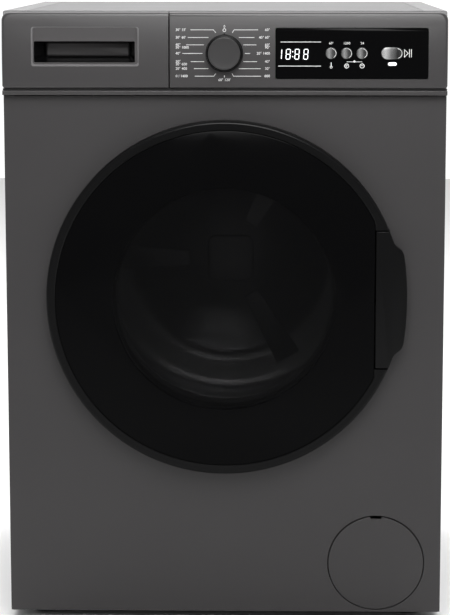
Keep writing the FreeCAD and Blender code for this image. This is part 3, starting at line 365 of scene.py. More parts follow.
def map_range(nodes, links, source, from_low, from_high, low, high):
    ranger = nodes.new("ShaderNodeMapRange")
    ranger.inputs["From Min"].default_value = from_low
    ranger.inputs["From Max"].default_value = from_high
    ranger.inputs["To Min"].default_value = low
    ranger.inputs["To Max"].default_value = high
    links.new(source, ranger.inputs["Value"])
    return ranger.outputs["Result"]


def spread(nodes, links, source, low, high):
    """Maps a noise value round its middle to a range."""
    return map_range(nodes, links, source, 0.3, 0.7, low, high)


def surface(name, colour, roughness, metallic=0.0, vary=0.06, patch=9.0, grain=900.0, bump=0.05, depth=0.0002,
            stretch=None, specular=0.5):
    """A finish with slight patches of tone and gloss and a fine grain in relief."""
    material, nodes, links = node_material(name)
    shader = nodes["Principled BSDF"]
    shader.inputs["Metallic"].default_value = metallic
    shader.inputs["Specular IOR Level"].default_value = specular
    patches = spread(nodes, links, noise(nodes, links, patch, 5.0, stretch), 0, 1)
    mottle(nodes, links, patches, dimmed(colour, 1 - vary), dimmed(colour, 1 + vary))
    fine = noise(nodes, links, grain, 3.0, stretch)
    links.new(spread(nodes, links, fine, roughness * 0.9, min(1.0, roughness * 1.1)), shader.inputs["Roughness"])
    relief = nodes.new("ShaderNodeBump")
    relief.inputs["Strength"].default_value = bump
    relief.inputs["Distance"].default_value = depth
    links.new(fine, relief.inputs["Height"])
    links.new(relief.outputs["Normal"], shader.inputs["Normal"])
    return material


def glow(name, colour, strength):
    """A mark that gives off light, with a faint unevenness: the display's lit digits, and white print whose glow is
    painted light.
    """
    material, nodes, links = node_material(name)
    shader = nodes["Principled BSDF"]
    shader.inputs["Roughness"].default_value = 0.5
    shader.inputs["Emission Strength"].default_value = strength
    patches = spread(nodes, links, noise(nodes, links, 700.0), 0, 1)
    tone = mottle(nodes, links, patches, dimmed(colour, 0.93), colour)
    links.new(tone, shader.inputs["Emission Color"])
    return material


def tinted(name, colour, alpha, roughness=0.03, specular=0.5):
    """Polished see-through material: a dark or clear film with a sharp reflection."""
    material, nodes, links = node_material(name)
    shader = nodes["Principled BSDF"]
    shader.inputs["Alpha"].default_value = alpha
    shader.inputs["Specular IOR Level"].default_value = specular
    mottle(nodes, links, noise(nodes, links, 6.0), dimmed(colour, 0.95), colour)
    links.new(spread(nodes, links, noise(nodes, links, 30.0), roughness * 0.8, roughness * 1.2),
              shader.inputs["Roughness"])
    shader.inputs["IOR"].default_value = 1.5
    return material


ANTHRACITE = (0.0302, 0.0280, 0.0289)
MAT = {
    "cabinet": surface("powder_coat", ANTHRACITE, 0.42, vary=0.03, grain=1400.0, bump=0.10, specular=0.5),
    "panel": surface("satin_panel", (0.0392, 0.0370, 0.0379), 0.34, vary=0.03, grain=1800.0, bump=0.06),
    # Pale grey with little gloss: the pale tone is painted reflection, standing in for the bright room's glare on the
    # worktop and its rail.
    "worktop": surface("worktop_painted_glare", (0.215, 0.213, 0.215), 0.6, vary=0.04, grain=1200.0, bump=0.12,
                       specular=0.12),
    "rail": surface("worktop_rail_painted_glare", (0.26, 0.257, 0.26), 0.55, vary=0.03, grain=1500.0, bump=0.08, specular=0.12),
    "ring": surface("satin_black", (0.0030, 0.0030, 0.0032), 0.24, vary=0.05, grain=1600.0, bump=0.02,
                    specular=0.13),
    "gloss": surface("gloss_black", (0.0022, 0.0022, 0.0024), 0.09, vary=0.05, grain=500.0, bump=0.01,
                     specular=0.04),
    "knob": surface("satin_knob", (0.030, 0.029, 0.0295), 0.32, vary=0.04, grain=1800.0, bump=0.06),
    "knob_side": surface("knob_side", (0.0030, 0.0030, 0.0032), 0.3, vary=0.05, grain=1200.0, bump=0.04,
                         specular=0.12),
    # A lighter copy of the panel's tone: painted light on the drawer's flat lip and on the finger cup's back plate.
    "lip": surface("lip_painted_light", (0.052, 0.049, 0.050), 0.4, vary=0.03, grain=1800.0, bump=0.06),
    # A pale tone on the drawer pocket's chamfer: painted highlight.
    "chamfer": surface("chamfer_painted_highlight", (0.17, 0.165, 0.168), 0.25, vary=0.05, grain=900.0, bump=0.03),
    # Not print: a dead black laid on the door ring's outer side wall as painted shade.
    "mask": surface("ring_side_painted_shade", (0.003, 0.003, 0.003), 0.5, vary=0.05, grain=900.0, bump=0.02, specular=0.1),
    "silver": surface("satin_silver", (0.42, 0.42, 0.43), 0.25, metallic=0.9, vary=0.05, grain=1500.0, bump=0.03),
    "frame": surface("dark_moulding", (0.022, 0.022, 0.023), 0.45, vary=0.06, grain=1100.0, bump=0.12),
    "steel": surface("brushed_drum", (0.56, 0.56, 0.57), 0.33, metallic=1.0, vary=0.06, patch=4.0, grain=260.0,
                     bump=0.08, stretch=(1, 12, 1)),
    # A dark copy of the drum steel: painted shade for the drum's holes.
    "dimple": surface("dimple_painted_shade", (0.07, 0.07, 0.072), 0.45, metallic=0.6, vary=0.1, grain=700.0),
    "zinc": surface("zinc_plate", (0.55, 0.56, 0.58), 0.38, metallic=1.0, vary=0.12, patch=60.0, grain=800.0),
    "cast": surface("cast_aluminium", (0.5, 0.5, 0.51), 0.5, metallic=1.0, vary=0.08, patch=30.0, grain=600.0,
                    bump=0.25),
    "rubber": surface("grey_rubber", (0.20, 0.20, 0.205), 0.6, vary=0.08, patch=25.0, grain=900.0, bump=0.2),
    "dark_rubber": surface("black_rubber", (0.018, 0.018, 0.019), 0.65, vary=0.1, patch=25.0, grain=900.0,
                           bump=0.25),
    "black_plastic": surface("black_moulding", (0.016, 0.016, 0.017), 0.5, vary=0.08, grain=1200.0, bump=0.15),
    "white_plastic": surface("white_moulding", (0.72, 0.72, 0.71), 0.42, vary=0.03, grain=1200.0, bump=0.08),
    "blue_plastic": surface("blue_moulding", (0.05, 0.18, 0.5), 0.25, vary=0.05, grain=900.0, bump=0.05),
    "tub": surface("filled_polypropylene", (0.48, 0.48, 0.47), 0.6, vary=0.08, patch=20.0, grain=700.0, bump=0.2),
    "concrete": surface("cast_concrete", (0.34, 0.33, 0.31), 0.9, vary=0.2, patch=40.0, grain=350.0, bump=0.7,
                        depth=0.0006),
    "board": surface("solder_mask", (0.02, 0.1, 0.04), 0.35, vary=0.2, patch=120.0, grain=900.0),
    # The white print glows faintly though it is no lamp: painted light.
    "print": glow("white_print_painted_glow", (0.74, 0.74, 0.74), 0.2),
    "digit": glow("display_digit", (0.9, 0.92, 0.95), 1.0),
    "smoke": tinted("smoked_disc", (0.0040, 0.0040, 0.0042), 0.62, 0.05, 0.02),
    "bowl": tinted("clear_bowl", (0.095, 0.103, 0.103), 0.085, 0.02),
}


def dress(material, *names):
    """Gives CAD nodes their finish."""
    for name in names:
        mesh = NODES[name].data
        mesh.materials.clear()
        mesh.materials.append(MAT[material])


def dress_cad_nodes():
    dress("cabinet", "cabinet_wrap", "front_panel", "rear_cover", "filter_cover")
    dress("panel", "control_fascia", "drawer_front", "lower_trim")
    dress("worktop", "worktop")
    dress("rail", "worktop_frame")
    dress("gloss", "display_window")
    dress("frame", "door_inner_frame")
    dress("steel", "drum_bearings", "heater", "drum_shell", "drum_rear_wall")
    dress("zinc", "cabinet_screws", "hinge_bracket", "hinge_arm", "door_screws", "damper_cylinders",
          "damper_rods", "suspension_springs", "drive_motor", "motor_pulley", "latch_hook")
    dress("cast", "drum_spider", "drum_pulley")
    dress("rubber", "door_gasket")
    dress("dark_rubber", "sump_hose", "fill_hose", "valve_hose", "drive_belt", "foot_front_left",
          "foot_front_right", "foot_rear_left", "foot_rear_right")
    dress("black_plastic", "base_pan", "door_lock", "drain_pump", "cable_gland", "pump_filter")
    dress("white_plastic", "drawer_tray", "dispenser_housing", "inlet_valve", "drain_hose", "drum_lifters")
    dress("blue_plastic", "siphon_cap")
    dress("tub", "tub_front", "tub_rear")
    dress("concrete", "top_weight")
    dress("board", "control_board")
    dress("knob", "programme_knob")
    dress("silver", "temperature_button", "spin_button", "delay_button", "start_button")
    dress("ring", "door_ring", "door_handle")
    dress("smoke", "door_disc")
    dress("bowl", "door_glass")


# ---- Camera, floor and light ----

def make_camera():
    """Front view from slightly above and to the right, with a little vertical shift."""
    tilt, turn = 8.0, 1.0
    data = bpy.data.cameras.new("camera")
    data.sensor_width = 36
    data.lens = 122.6
    data.shift_x = -0.0230
    data.shift_y = -0.10
    data.clip_end = 50
    camera = bpy.data.objects.new("camera", data)
    bpy.context.scene.collection.objects.link(camera)
    camera.location = (0.0687, -3.0646, 0.9233)
    camera.rotation_euler = (math.radians(90 - tilt), 0, math.radians(turn))
    bpy.context.scene.camera = camera


def area_light(name, location, target, size, power, size_y=None, spread=180):
    data = bpy.data.lights.new(name, "AREA")
    data.shape = "RECTANGLE"
    data.size = size
    data.size_y = size_y or size
    data.energy = power
    data.spread = math.radians(spread)
    light = bpy.data.objects.new(name, data)
    bpy.context.scene.collection.objects.link(light)
    light.location = location
    light.rotation_euler = (Vector(target) - Vector(location)).to_track_quat("-Z", "Y").to_euler()
    return light


def make_stage():
    """A plain pale floor."""
    material, nodes, links = node_material("studio_floor")
    shader = nodes["Principled BSDF"]
    shader.inputs["Roughness"].default_value = 0.9
    shader.inputs["Specular IOR Level"].default_value = 0.1
    mottle(nodes, links, noise(nodes, links, 3.0), (0.86, 0.86, 0.86), (0.9, 0.9, 0.9))
    bpy.ops.mesh.primitive_plane_add(size=9, location=(0, 1.0, 0))
    floor = bpy.context.object
    floor.name = "studio_floor"
    floor.data.materials.append(material)


def make_world():
    """A pale room: white behind the machine and a dim grey in front of it."""
    world = bpy.data.worlds.new("studio_world")
    bpy.context.scene.world = world
    world.use_nodes = True
    nodes, links = world.node_tree.nodes, world.node_tree.links
    place = nodes.new("ShaderNodeTexCoord")
    split = nodes.new("ShaderNodeSeparateXYZ")
    links.new(place.outputs["Generated"], split.inputs["Vector"])
    strength = map_range(nodes, links, split.outputs["Y"], -0.2, 0.7, 0.34, 1.1)
    links.new(strength, nodes["Background"].inputs["Strength"])
    nodes["Background"].inputs["Color"].default_value = (1, 1, 1, 1)


def make_lights():
    bpy.context.scene.view_settings.view_transform = "Standard"
    make_world()
    front, middle = (0, -0.25, 0.78), (0, 0, 0.45)
    area_light("top_light", (0, 1.3, 3.0), (0, 1.3, 0), 3.6, 100, size_y=3.0)
    area_light("strip_light", (0.1, -3.1, 2.2), front, 1.5, 7.5, size_y=1.1, spread=70)
    area_light("key_light", (0.1, -1.35, 1.75), (0, -0.25, 0.72), 0.8, 3.0, spread=80)
    area_light("left_light", (-2.4, -1.5, 1.3), middle, 1.0, 1.2)
    area_light("right_light", (2.4, -1.5, 1.3), middle, 1.0, 1.2)


# ---- Control panel ----

BOW_RADIUS = 0.470
BOW_HEIGHT = FASCIA_HIGH.z - 0.0685
FACE = FASCIA_LOW.y
PRINT_DEPTH = 0.00006
ROUND_KEYS = {"temperature_button": "temperature_key", "spin_button": "spin_key", "delay_button": "delay_key"}


def face_cut(name, outline):
    """A cutter that goes right through the panel's bowed face."""
    return prism(name, outline, FACE - 0.005, FACE + 0.012)


def lean(z):
    """How far the bowed face stands back from its foremost line."""
    return BOW_RADIUS - math.sqrt(BOW_RADIUS ** 2 - (z - BOW_HEIGHT) ** 2)


def bow(piece, back, step=0.004):
    """Cuts the piece into level strips and bends it to the panel's bow. Points at the back stay."""
    strips = int((FASCIA_HIGH.z - FASCIA_LOW.z) / step)
    with edited(piece.data) as mesh:
        for index in range(1, strips + 1):
            geometry = mesh.verts[:] + mesh.edges[:] + mesh.faces[:]
            level = (0, 0, FASCIA_LOW.z + step * index)
            bmesh.ops.bisect_plane(mesh, geom=geometry, plane_co=level, plane_no=(0, 0, 1))
        front = min(vert.co.y for vert in mesh.verts)
        for vert in mesh.verts:
            share = max(0.0, min(1.0, (back - vert.co.y) / (back - front)))
            vert.co.y += lean(vert.co.z) * min(1.0, share * 2)
    finish_mesh(piece)


def panel_moulding(name, x, outward):
    """One part of the control panel: a shell with soft edges, one round top corner and a bowed face."""
    z = (FASCIA_LOW.z, FASCIA_HIGH.z)
    back = FASCIA_HIGH.y
    large, small, foot = 0.011, 0.0008, 0.004
    radii = (large, small, small, foot) if outward > 0 else (small, large, foot, small)
    outline = corner_outline(x, z, radii)
    side, split, depth = 0.0040, 0.0005, 0.0042
    left, right = (split, side) if outward > 0 else (side, split)
    sections = [(outline, back)]
    for step in range(9):
        turn = math.radians(90 * step / 8)
        inset = 1 - math.cos(turn)
        sections.append((scaled(outline, left * inset, right * inset, 0.0028 * inset, side * inset),
                         FACE + depth * (1 - math.sin(turn))))
    shell = loft(name, sections, "panel")
    bow(shell, back)
    wall = 0.0030
    cavity_outline = corner_outline((x[0] + wall, x[1] - wall), (z[0] + wall, z[1] - wall),
                                    tuple(max(0.001, radius - wall) for radius in radii))
    cavity = loft("cavity", [(cavity_outline, FACE + wall), (cavity_outline, back + 0.001)], "panel")
    bow(cavity, back + 0.001)
    return shell, cavity


def make_fascia():
    shell, cavity = panel_moulding("fascia_moulding", (FASCIA_LOW.x, FASCIA_HIGH.x), 1)
    gap = 0.0004
    across, up = (WINDOW_LOW.x - gap, WINDOW_HIGH.x + gap), (WINDOW_LOW.z - gap, WINDOW_HIGH.z + gap)
    hole = rounded_outline(across, up, 0.0024)
    carve(shell, cavity, face_cut("window_cut", hole), face_cut("shaft_cut", circle((0, CONTROL_Z), 0.004)))
    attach(shell, "cabinet")
    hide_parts("control_fascia")


def make_bezel(rim, mouth, floor_y, lip_back):
    """Flat lip round the pocket's mouth, with a chamfer out to the pocket's rim: the flat faces take a lighter copy
    of the panel's tone as painted light, and the chamfer a pale tone as painted highlight.
    """
    floor_line = scaled(rim, 0.0018, 0.0018, 0.0025, 0.0008)
    outside = drawn_in(rim, -0.0014)
    sections = [(drawn_in(mouth, -0.0016), lip_back), (outside, floor_y + 0.0014),
                (outside, lambda z: FACE + 0.0012 + lean(z)), (rim, lambda z: FACE + 0.0002 + lean(z)),
                (floor_line, floor_y), (mouth, floor_y), (mouth, lip_back)]
    bezel = loft("lip_plate", sections, "panel")
    open_ends(bezel)
    # Flat faces get the lighter tone as painted light, slanted chamfer faces the pale tone as painted highlight.
    paint(bezel, "lip", lambda face: abs(face.normal.y) > 0.9)
    paint(bezel, "chamfer", lambda face: 0.25 < abs(face.normal.y) <= 0.9 and face.center.y < floor_y)
    return bezel


def make_drawer_front():
    """The moulded front, a bevelled pocket with a flat lip, and a dark finger cup behind it whose walls are black as
    painted shade.
    """
    low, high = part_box("drawer_front")
    shell, cavity = panel_moulding("drawer_moulding", (low.x, high.x), -1)
    carve(shell, cavity)
    lip_back = FACE + 0.0062
    rim = rounded_outline((-0.2587, -0.1145), (0.7714, 0.8238), 0.0034)
    mouth = rounded_outline((-0.2554, -0.1199), (0.7763, 0.8046), 0.0016)
    carve(shell, face_cut("pocket_cut", drawn_in(rim, -0.0002)))
    bezel = make_bezel(rim, mouth, FACE + 0.0036, lip_back)

    cup_mouth = rounded_outline((-0.2556, -0.1197), (0.7761, 0.8160), 0.0030)
    cup_end = rounded_outline((-0.2425, -0.1285), (0.7828, 0.8150), 0.0030)
    cup_wall = 0.0012
    # The cup's walls take the ring's black as painted shade for the dark hollow behind the lip.
    cup = loft("grip_cup", [(drawn_in(cup_end, -cup_wall), high.y), (drawn_in(cup_mouth, -cup_wall), lip_back),
                            (cup_mouth, lip_back), (cup_end, high.y - 0.0016)], "ring")
    back_wall = rounded_outline((-0.2410, -0.1300), (0.7840, 0.8012), 0.0026)
    # The back plate takes the lip's lighter tone as painted light.
    plate = loft("grip_back", [(back_wall, high.y - 0.0010), (back_wall, high.y - 0.0034),
                               (drawn_in(back_wall, 0.0011), high.y - 0.0042)], "lip")
    whole = merge("drawer_moulding", [shell, bezel, cup, plate], "drawer")
    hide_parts("drawer_front")


def make_display():
    outline = rounded_outline((WINDOW_LOW.x, WINDOW_HIGH.x), (WINDOW_LOW.z, WINDOW_HIGH.z), 0.0035)
    edge = 0.0004
    sections = [(outline, WINDOW_HIGH.y), (outline, WINDOW_LOW.y + edge),
                (drawn_in(outline, edge), WINDOW_LOW.y)]
    window = loft("display_glass", sections, "gloss")
    bow(window, WINDOW_HIGH.y)
    cutters = [face_cut(f"key_cut_{name}", circle(centre_of(name), 0.0079)) for name in ROUND_KEYS]
    cutters.append(face_cut("start_cut", pill_outline(centre_of("start_button"), 0.0296, 0.0166)))
    carve(window, *cutters)
    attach(window, "cabinet")
    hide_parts("display_window")


def key_sheen_painted(name, low, high, stops):
    """Satin metallic material with a fine grain, its tone fading across the key in bands of painted highlight and
    painted shade.
    """
    material, nodes, links = node_material(name)
    shader = nodes["Principled BSDF"]
    shader.inputs["Metallic"].default_value = 0.35
    place = nodes.new("ShaderNodeTexCoord")
    split = nodes.new("ShaderNodeSeparateXYZ")
    links.new(place.outputs["Object"], split.inputs["Vector"])
    across = map_range(nodes, links, split.outputs["X"], low, high, 0, 1)
    ramp = nodes.new("ShaderNodeValToRGB")
    elements = ramp.color_ramp.elements
    elements[0].color = (stops[0][1],) * 3 + (1,)
    elements[1].color = (stops[-1][1],) * 3 + (1,)
    for position, tone in stops[1:-1]:
        elements.new(position).color = (tone,) * 3 + (1,)
    links.new(across, ramp.inputs["Fac"])
    links.new(ramp.outputs["Color"], shader.inputs["Base Color"])
    fine = noise(nodes, links, 1500.0)
    links.new(spread(nodes, links, fine, 0.24, 0.32), shader.inputs["Roughness"])
    return material


def make_painted_highlight_arc(name, centre, outer, inner, start, end, y, body):
    """A painted highlight: a thin light arc on the right of a key, between two arcs."""
    outline = arc_points(centre, outer, start, end, 20) + arc_points(centre, inner, end, start, 20)
    rim = extrude_outline(name, outline, y - 0.00005, y + 0.0004, "print", body)


def make_round_keys():
    """Dished round keys with a rolled edge."""
    for node, body in ROUND_KEYS.items():
        low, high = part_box(node)
        centre = centre_of(node)
        radius = (high.x - low.x) / 2
        # The bands across each cap are painted highlight and painted shade.
        MAT[node] = key_sheen_painted(node + "_painted_sheen", low.x, high.x, [(0.0, 0.05), (0.3, 0.30), (0.62, 0.06), (1.0, 0.012)])
        profile = [(high.y, 0), (high.y, radius)]
        profile += rolled_edge(low.y, radius, 0.0012, range(6))
        profile += shifted(low.y, [(0.00005, radius * 0.8), (0.0002, radius * 0.4), (0.0003, 0)])
        key = lathe(node + "_cap", profile, node, body, centre=centre, segments=64)
        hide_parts(node)
        make_painted_highlight_arc(node + "_painted_highlight_arc", centre, radius - 0.0009, radius - 0.0015, -62, 80, low.y, body)


def make_start_key():
    """Oval key, with a painted highlight at its left end and painted shade at its right."""
    low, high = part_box("start_button")
    centre = centre_of("start_button")
    width, height = high.x - low.x, high.z - low.z
    stops = [(0.0, 0.35), (0.2, 0.50), (0.45, 0.16), (0.75, 0.015), (1.0, 0.05)]
    MAT["start_key"] = key_sheen_painted("start_painted_sheen", low.x, high.x, stops)
    outline = pill_outline(centre, width, height)
    key = extrude_outline("start_key_cap", outline, low.y, high.y, "start_key", "start_key", 0.0011, 4)
    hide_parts("start_button")
    end = (centre[0] + (width - height) / 2, centre[1])
    make_painted_highlight_arc("start_key_painted_highlight_arc", end, 0.0068, 0.0061, -75, 85, low.y, "start_key")


def make_knob():
    centre = (0.0, CONTROL_Z)
    front, back = KNOB_LOW.y, KNOB_HIGH.y
    foot = FACE - 0.0007
    profile = [(back, 0), (back, 0.003)]
    profile += shifted(foot, [(0, 0.003), (0, 0.0250), (-0.0028, 0.0250), (-0.0036, 0.0242)])
    profile += shifted(front, [(0.0034, 0.0236), (0.0020, 0.0229), (0.0016, 0.0218), (0.0016, 0)])
    skirt = lathe("knob_skirt", profile, "knob_side", "knob", centre=centre, segments=128)
    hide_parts("programme_knob")
    face = shifted(front, [(0.0018, 0), (0.0018, 0.0216), (0.0008, 0.0215), (0.0001, 0.0211), (0, 0.0205),
                           (0.0002, 0.0190), (0.0004, 0.012), (0.0005, 0)])
    cap = lathe("knob_face", face, "knob", "knob", centre=centre, segments=128)
    tip = [(-0.0012, CONTROL_Z + 0.0240), (0.0012, CONTROL_Z + 0.0240), (0.0007, CONTROL_Z + 0.0270),
           (-0.0007, CONTROL_Z + 0.0270)]
    pointer = extrude_outline("knob_pointer", tip, foot - 0.0030, foot, "knob_side", "knob", 0.0002, 2)


# ---- Printed marks ----

def mark(outline, surface_y, material, stand=PRINT_DEPTH):
    return extrude_outline("mark", outline, surface_y - stand, surface_y + 0.0002, material)


def stroke(points, width, surface_y, material="print"):
    """A line of constant width through a few (x, z) points, one bar for each stretch."""
    bars = []
    for (x0, z0), (x1, z1) in zip(points, points[1:]):
        length = math.hypot(x1 - x0, z1 - z0)
        ux, uz = (x1 - x0) / length * width / 2, (z1 - z0) / length * width / 2
        outline = [(x0 - ux - uz, z0 - uz + ux), (x1 + ux - uz, z1 + uz + ux), (x1 + ux + uz, z1 + uz - ux),
                   (x0 - ux + uz, z0 - uz - ux)]
        bars.append(mark(outline, surface_y, material))
    return bars


def ring_mark(centre, radius, width, surface_y, material="print", start=0, end=360, steps=28):
    outer = arc_points(centre, radius + width / 2, start, end, steps)
    inner = arc_points(centre, radius - width / 2, end, start, steps)
    if end - start >= 360:
        half = (start + end) / 2
        return (ring_mark(centre, radius, width, surface_y, material, start, half, steps // 2)
                + ring_mark(centre, radius, width, surface_y, material, half, end, steps // 2))
    return [mark(outer + inner, surface_y, material)]


def text_mark(text, x, z, height, surface_y, align="LEFT", material="print"):
    curve = bpy.data.curves.new("label", "FONT")
    curve.body = text
    curve.size = height / 0.70
    curve.align_x = align
    curve.align_y = "CENTER"
    curve.extrude = 0.00013
    curve.resolution_u = 3
    holder = bpy.data.objects.new("label", curve)
    bpy.context.scene.collection.objects.link(holder)
    holder.rotation_euler = (math.radians(90), 0, 0)
    holder.location = (x, surface_y + 0.00013 - PRINT_DEPTH, z)
    bpy.context.view_layer.update()
    mesh = bpy.data.meshes.new_from_object(holder.evaluated_get(bpy.context.evaluated_depsgraph_get()))
    mesh.transform(holder.matrix_world)
    bpy.data.objects.remove(holder)
    piece = bpy.data.objects.new("label", mesh)
    bpy.context.scene.collection.objects.link(piece)
    mesh.materials.clear()
    mesh.materials.append(MAT[material])
    for face in mesh.polygons:
        face.material_index = 0
    return [piece]


def hug(piece):
    """Presses a printed piece onto the bowed face."""
    for vert in piece.data.vertices:
        vert.co.y += lean(vert.co.z)


# Each row has its level, the line's far and near ends and its label, in mm.
DIAL_LEFT = [(820.0, -45.1, -14.7, "30° 15'"), (809.9, -48.4, -21.6, "30° 60'"),
             (800.1, -50.6, -27.7, "40°"), (788.7, -55.8, -29.7, "40°"), (777.8, -44.5, -27.3, "30°"),
             (768.4, -40.4, -21.7, "20° 400"), (758.4, -39.2, -14.1, "0 / 1400")]
DIAL_RIGHT = [(820.0, 44.7, 13.0, "60°"), (809.9, 39.7, 19.7, "40° 60°"), (800.1, 42.4, 25.3, "60°"),
              (788.7, 34.1, 27.7, "20° 1400"), (777.8, 43.5, 25.6, "40°"), (768.4, 48.1, 19.7, "30°"),
              (758.4, 48.8, 12.2, "800")]
DIAL_SIDES = (("LEFT", -0.0653, -0.0116, DIAL_LEFT), ("RIGHT", 0.0609, 0.0105, DIAL_RIGHT))
SECOND_LINES = [("LEFT", -65.3, 796.6, "30° 1000"), ("LEFT", -65.3, 774.3, "30° 600"),
                ("RIGHT", 60.9, 796.6, "90°")]


def make_dial_print():
    """Lines and numbers round the knob."""
    marks = []
    thin, height = 0.0006, 0.0034
    for align, text_x, elbow_x, rows in DIAL_SIDES:
        for z, far, near, label in rows:
            points = [(far * MM, z * MM), (near * MM, z * MM)]
            if abs(z - CONTROL_Z / MM) > 25:
                points.append((elbow_x, (z + (-3.6 if z > 789 else 3.2)) * MM))
            marks += stroke(points, thin, FACE)
            marks += text_mark(label, text_x, z * MM, height, FACE, align)
    for align, x, z, label in SECOND_LINES:
        marks += text_mark(label, x * MM, z * MM, height, FACE, align)
    marks += stroke([(0, 0.7590), (0, 0.7572)], 0.0009, FACE)
    marks += text_mark("60° 120'", 0, 0.7533, height, FACE, "CENTER")
    marks += ring_mark((0, 0.8196), 0.0019, 0.0007, FACE)
    marks += text_mark("0", 0, 0.8243, height, FACE, "CENTER")
    whole = merge("dial_print", marks)
    hug(whole)
    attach(whole, "cabinet")


SEGMENTS = {"a": ((0, 2), (1, 2)), "b": ((1, 2), (1, 1)), "c": ((1, 1), (1, 0)), "d": ((0, 0), (1, 0)),
            "e": ((0, 1), (0, 0)), "f": ((0, 2), (0, 1)), "g": ((0, 1), (1, 1))}
LIT = {"1": "bc", "8": "abcdefg"}


def digit_marks(digit, x, surface_y):
    """A seven-segment digit, leaning a little."""
    width, half, thick, gap, slant = 0.0054, 0.0066, 0.0010, 0.0003, 0.06
    marks = []
    for name in LIT[digit]:
        ends = []
        for column, row in SEGMENTS[name]:
            level = (row - 1) * half
            ends.append((x + (column - 0.5) * width + level * slant, CONTROL_Z - 0.0012 + level))
        (x0, z0), (x1, z1) = ends
        length = math.hypot(x1 - x0, z1 - z0)
        ux, uz = (x1 - x0) / length, (z1 - z0) / length
        start, end = gap, length - gap
        outline = [(x0 + ux * along - uz * across, z0 + uz * along + ux * across)
                   for along, across in ((start, 0), (start + thick / 2, thick / 2), (end - thick / 2, thick / 2),
                                         (end, 0), (end - thick / 2, -thick / 2), (start + thick / 2, -thick / 2))]
        marks.append(mark(outline, surface_y, "digit"))
    return marks


def make_digits():
    """The lit digits, their colon and the lamp under the start key."""
    glass = WINDOW_LOW.y
    digits = []
    for digit, x in (("1", 0.0737), ("8", 0.0852), ("8", 0.0970), ("8", 0.1088)):
        digits += digit_marks(digit, x, glass)
    for level in (-0.0045, 0.0021):
        digits.append(mark(circle((0.0912, CONTROL_Z + level), 0.0008, 12), glass, "digit"))
    digits.append(mark(pill_outline((0.2242, 0.7748), 0.0116, 0.0044), glass, "digit"))
    lit = merge("display_digits", digits)
    hug(lit)
    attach(lit, "cabinet")


def make_symbols():
    """Lines, numbers and symbols on the display window."""
    glass = WINDOW_LOW.y
    temperature, spin, delay = [centre_of(node)[0] for node in ROUND_KEYS]
    marks = stroke([(0.0755, 0.8040), (0.1286, 0.8040)], 0.0008, glass)
    marks += stroke([(0.0725, 0.7720), (0.1286, 0.7720)], 0.0008, glass)
    for x, label in ((temperature, "60°"), (spin, "1200"), (delay, "24")):
        marks += text_mark(label, x, 0.8022, 0.0032, glass, "CENTER")
    level, link = 0.7722, 0.7777
    marks += ring_mark((temperature, level - 0.0016), 0.0014, 0.0007, glass)
    marks += stroke([(temperature, level), (temperature, level + 0.0042)], 0.0010, glass)
    marks += ring_mark((spin, level), 0.0028, 0.0008, glass)
    marks += ring_mark((spin, level), 0.0012, 0.0008, glass, start=20, end=300)
    marks += ring_mark((delay, level), 0.0028, 0.0008, glass)
    hands = [(delay - 0.0012, level + 0.0012), (delay, level), (delay + 0.0014, level + 0.0012)]
    marks += stroke(hands, 0.0006, glass)
    marks += stroke([(spin + 0.0002, link), (delay - 0.0002, link)], 0.0006, glass)
    marks.append(mark(circle(((spin + delay) / 2, 0.7782), 0.0016, 6), glass, "print"))
    top, bottom = CONTROL_Z + 0.0050, CONTROL_Z - 0.0050
    marks += stroke([(0.2402, top), (0.2452, CONTROL_Z), (0.2402, bottom), (0.2402, top)], 0.0007, glass)
    for x in (0.2468, 0.2494):
        marks += stroke([(x, top), (x, bottom)], 0.0008, glass)
    whole = merge("display_symbols", marks)
    hug(whole)
    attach(whole, "cabinet")


# ---- Door ----

DISC_RADIUS = 0.2284
PANE_RADIUS = 0.1515
DISC_CHORD = 0.2025
DISC_CORNER = 0.028
HANDLE_HALF = 0.0934


def disc_outline(grow=0.0, steps=120):
    """A circle with a straight edge at the right and round corners, from (x, z) about the door's axis."""
    radius, chord, corner = DISC_RADIUS + grow, DISC_CHORD + grow, DISC_CORNER + grow
    reach = chord - corner
    rise = math.sqrt((radius - corner) ** 2 - reach ** 2)
    turn = math.degrees(math.atan2(rise, reach))
    upper, lower = (reach, AXIS_Z + rise), (reach, AXIS_Z - rise)
    points = arc_points(upper, corner, 0, turn, 10)
    points += arc_points(DOOR_CENTRE, radius, turn, 360 - turn, steps)[1:]
    points += arc_points(lower, corner, 360 - turn, 360, 10)[1:]
    return points


